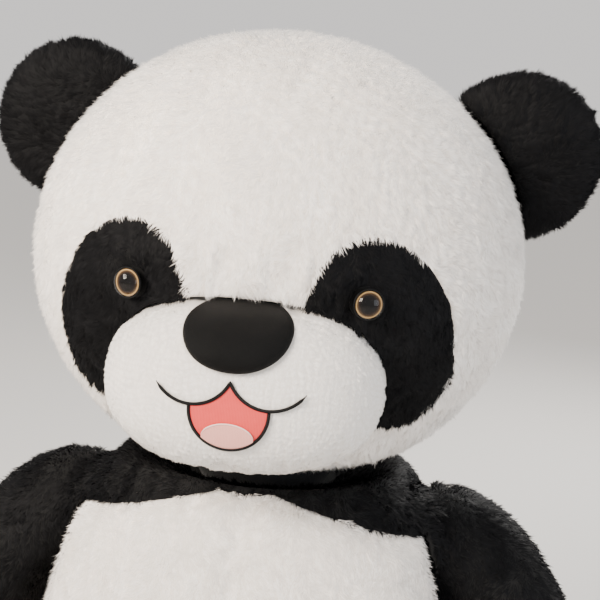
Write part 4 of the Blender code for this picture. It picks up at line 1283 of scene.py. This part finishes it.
def arm_held(points):
    """The root of the arm keeps its shape in the torso's pocket, and a seam runs down its back."""
    root = dip(np.linalg.norm(points - shoulder, axis=1), 0.075)
    seam = dip(points[:, 0] - np.interp(points[:, 2], arm_path[::-1, 2], arm_path[::-1, 0]), 0.008)
    return np.clip(np.maximum(root * 0.3, seam * (points[:, 1] > 0.01) * 0.6), 0, 1)


arm_radii = np.linspace(ARM_RADIUS, PAW_RADIUS, len(arm_path)) - PILE_ROOM - STUFFED
arm_form, arm_faces = closed_rings(sleeve(arm_path, arm_radii, arm_radii, (0, 1, 0)))
arm_form[:, 0] = np.maximum(arm_form[:, 0], arm_low.x + 0.002)
arm_points, arm_triangles = stuffed((arm_form, arm_faces), arm_held, 0.005)
arm_points += normals_of(arm_points, arm_triangles) * (0.0016 * ripple(arm_points, 0.09, 8))[:, None]
arm_triangles = facing_out(arm_points, arm_triangles)


def arm_in_the_open(points):
    """Pile is left off where the arm's root lies in the torso's pocket."""
    limit = arm_room_x(points, -0.006)
    return np.where(np.linalg.norm(points - shoulder, axis=1) < 0.075, np.abs(points[:, 0]) - limit, 1.0)


for name, side, seed in (("left", 1, 81), ("right", -1, 91)):
    places = arm_points * (side, 1, 1)
    turned = arm_triangles if side > 0 else arm_triangles[:, ::-1]
    arm = made_piece(f"arm_{name}", places, [turned])

    def room(points, side=side):
        return arm_in_the_open(points * (side, 1, 1))

    def nap_of_arm(root, up, side=side):
        """The nap of an arm runs down it to the paw."""
        return np.array((side * 0.25, 0.0, -1.0)) + 0 * root

    arm_pile = combed(f"arm_pile_{name}", (places, turned), 45000, room, seed, nap_of_arm, width=0.001)
    dress(arm, arm_pile, f"arm_{name}", black_backing, black_pile_root_shade,
          [f"arm_skin_{name}", f"arm_stuffing_{name}"])

# ---------------------------------------------------------------- shoulders
# The cloth of the yoke runs on into each arm, so the crease between them is bridged: a cap of black plush
# is drawn tight over the join.


def away_from(points, others):
    """Each point's distance from the nearest of the others."""
    tree = KDTree(len(others))
    for index, other in enumerate(others):
        tree.insert(other, index)
    tree.balance()
    return np.array([tree.find(point)[2] for point in points])


def drawn_tight(points, triangles, slack, rounds=160):
    """The cloth with each point moved to the middle of its neighbours, as far as its slack lets it."""
    edges = np.concatenate([triangles[:, [0, 1]], triangles[:, [1, 2]], triangles[:, [2, 0]]])
    edges = np.concatenate([edges, edges[:, ::-1]])
    many = np.bincount(edges[:, 0], minlength=len(points))[:, None]
    for _ in range(rounds):
        total = [np.bincount(edges[:, 0], points[edges[:, 1], axis], len(points)) for axis in range(3)]
        total = np.stack(total, axis=1)
        points = points + (total / np.maximum(many, 1) - points) * (slack * 0.7)[:, None]
    return points


both_points = np.vstack([torso_points, arm_points])
whole = made_piece("torso_and_arm", both_points, [torso_triangles, arm_triangles + len(torso_points)])
weave = whole.modifiers.new("weave", "REMESH")
weave.mode = "VOXEL"
weave.voxel_size = 0.006
cap_points, cap_triangles = as_arrays(whole)
bpy.data.objects.remove(whole)
from_arm, from_torso = away_from(cap_points, arm_points), away_from(cap_points, torso_points)
JOIN_WIDTH = 0.014
join = (from_arm < JOIN_WIDTH) & (from_torso < JOIN_WIDTH) & (cap_points[:, 2] > shoulder[2] - 0.02)
CAP_REACH = 0.062
from_join = away_from(cap_points, cap_points[join])
cap_points = drawn_tight(cap_points, cap_triangles, dip(from_join, CAP_REACH))
cap_points += normals_of(cap_points, cap_triangles) * (0.004 * dip(from_join, CAP_REACH))[:, None]
from_join = away_from(cap_points, cap_points[join])


def on_cap(points):
    """Over 0 near the join, above the arm's axis, and off the white belly."""
    reach = CAP_REACH * 0.9 - away_from(points, cap_points[join])
    return np.minimum.reduce([reach, points[:, 2] - shoulder[2] + 0.012, -bib_level(points) - 0.003])


for name, side, seed in (("left", 1, 95), ("right", -1, 98)):
    turned = cap_triangles if side > 0 else cap_triangles[:, ::-1]

    def room(points, side=side):
        return on_cap(points * (side, 1, 1))

    cap = panel(f"shoulder_cap_{name}", cap_points * (side, 1, 1), turned, room)
    cap_skin = (cap_points * (side, 1, 1), turned)
    cap_pile = combed(f"shoulder_pile_{name}", cap_skin, 12000, room, seed, nap_of_yoke, width=0.001)
    for shape, look in ((cap, black_backing), (cap_pile, black_pile_root_shade)):
        shape.data.materials.append(look)
        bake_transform(shape)

# ---------------------------------------------------------------- legs and soles
# The legs stick out in front: black sleeves that widen to the foot, each closed by an oval sole panel whose
# seam draws a shallow groove round the foot.

sole_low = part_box("foot_sole_left")[0]
leg_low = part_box("leg_skin_left")[0]
FOOT_HALF_WIDTH, SOLE_BULGE = 0.068, 0.20
foot = np.array((0.150, sole_low.y + SOLE_BULGE * FOOT_HALF_WIDTH, 0.080))
sole_seam_y = leg_low.y
step = np.linspace(0, 1, 20)
leg_path = hip + (foot - hip) * step[:, None]
leg_across = LEG_RADIUS + (FOOT_HALF_WIDTH - LEG_RADIUS) * step**2 - PILE_ROOM - STUFFED
leg_up = leg_path[:, 2] - PILE_ROOM - STUFFED
leg_form, leg_faces = closed_rings(sleeve(leg_path, leg_across, leg_up, (0, 0, 1), SOLE_BULGE))


def leg_held(points):
    """The leg is held at its root and along the seam of the sole."""
    root = dip(np.linalg.norm(points - hip, axis=1), 0.08)
    sole = dip(points[:, 1] - sole_seam_y - 0.004, 0.010)
    return np.clip(np.maximum(root * 0.8, sole * 0.8), 0, 1)


leg_points, leg_triangles = stuffed((leg_form, leg_faces), leg_held, 0.005)
leg_triangles = facing_out(leg_points, leg_triangles)
leg_points[:, 2] = np.maximum(leg_points[:, 2], 0.0012)
leg_points = snapped(leg_points, leg_triangles, lambda points: points[:, 1] - sole_seam_y)


def on_leg(points):
    return points[:, 1] - sole_seam_y


def on_sole(points):
    return sole_seam_y - points[:, 1]


def leg_in_the_open(points):
    """Pile is left off the back of the leg's root, which lies in the torso."""
    return np.minimum(on_leg(points), -0.125 + 0.1 * np.abs(points[:, 2] - hip[2]) - points[:, 1])


for name, side, seed in (("left", 1, 101), ("right", -1, 111)):
    places = leg_points * (side, 1, 1)
    turned = leg_triangles if side > 0 else leg_triangles[:, ::-1]
    leg = panel(f"leg_{name}", places, turned, on_leg)
    leg_pile = combed(f"leg_pile_{name}", (places, turned), 36000, leg_in_the_open, seed, (0.0, -1.0, -0.3),
                      width=0.001, floor=0.0006)
    dress(leg, leg_pile, f"leg_{name}", black_backing, black_pile_root_shade,
          [f"leg_skin_{name}", f"leg_stuffing_{name}"])
    sole = panel(f"sole_{name}", places, turned, on_sole)
    sole_pile = combed(f"sole_pile_{name}", (places, turned), 9000, on_sole, seed + 5, length=0.006,
                       floor=0.0006)
    dress(sole, sole_pile, f"leg_{name}", black_backing, black_pile_root_shade, [f"foot_sole_{name}"])

# ---------------------------------------------------------------- studio
# A pale seamless floor, a pale sky that fills the shadows, a broad warm key from the front left, a cooler
# fill from the right and a strip behind that edges the pile.

angle = np.linspace(0, 2 * math.pi, 96, endpoint=False)
floor_points = np.stack([12 * np.cos(angle), 12 * np.sin(angle), 0 * angle - 0.0002], axis=-1)
floor = made_piece("floor", floor_points, [np.arange(96)[None, :]])
floor_look = finish_of("floor", {"Base Color": (0.72, 0.70, 0.67, 1), "Roughness": 0.7})
floor.data.materials.append(floor_look[0])

sky = bpy.data.worlds.new("studio")
sky.use_nodes = True
sky.node_tree.nodes["Background"].inputs["Color"].default_value = (0.95, 0.92, 0.90, 1)
sky.node_tree.nodes["Background"].inputs["Strength"].default_value = 1.0
bpy.context.scene.world = sky


def soft_light(name, place, aim, size, power, colour):
    """A square soft box that faces a point."""
    data = bpy.data.lights.new(name, "AREA")
    data.size = size
    data.energy = power
    data.color = colour
    made = bpy.data.objects.new(name, data)
    made.location = place
    made.rotation_euler = (Vector(aim) - Vector(place)).to_track_quat("-Z", "Y").to_euler()
    bpy.context.scene.collection.objects.link(made)


soft_light("key", (-1.3, -1.7, 1.5), (0, 0, 0.45), 0.9, 92.0, (1.0, 0.90, 0.79))
soft_light("fill", (1.9, -1.2, 0.9), (0, 0, 0.4), 1.2, 16.0, (0.84, 0.91, 1.0))
soft_light("back", (0.8, 1.8, 1.6), (0, 0, 0.45), 0.9, 40.0, (1.0, 0.98, 0.95))

AZIMUTH, ELEVATION, ROLL = math.radians(7.2), math.radians(7.3), math.radians(4.35)
CAMERA_AWAY, LENS = 1.2, 83.2
back = Vector((
    math.sin(AZIMUTH) * math.cos(ELEVATION), -math.cos(AZIMUTH) * math.cos(ELEVATION), math.sin(ELEVATION)
))
eye_point = Vector(head_centre) + back * CAMERA_AWAY
facing = (-back).to_track_quat("-Z", "Y").to_matrix()
aim = Vector(head_centre) + facing @ Vector((0.0211, -0.0364, 0.0))
looking = (aim - eye_point).to_track_quat("-Z", "Y").to_matrix() @ Matrix.Rotation(ROLL, 3, "Z")
lens_data = bpy.data.cameras.new("camera")
lens_data.lens = LENS
lens_data.clip_start = 0.05
camera = bpy.data.objects.new("camera", lens_data)
camera.matrix_world = Matrix.Translation(eye_point) @ looking.to_4x4()
bpy.context.scene.collection.objects.link(camera)
bpy.context.scene.camera = camera
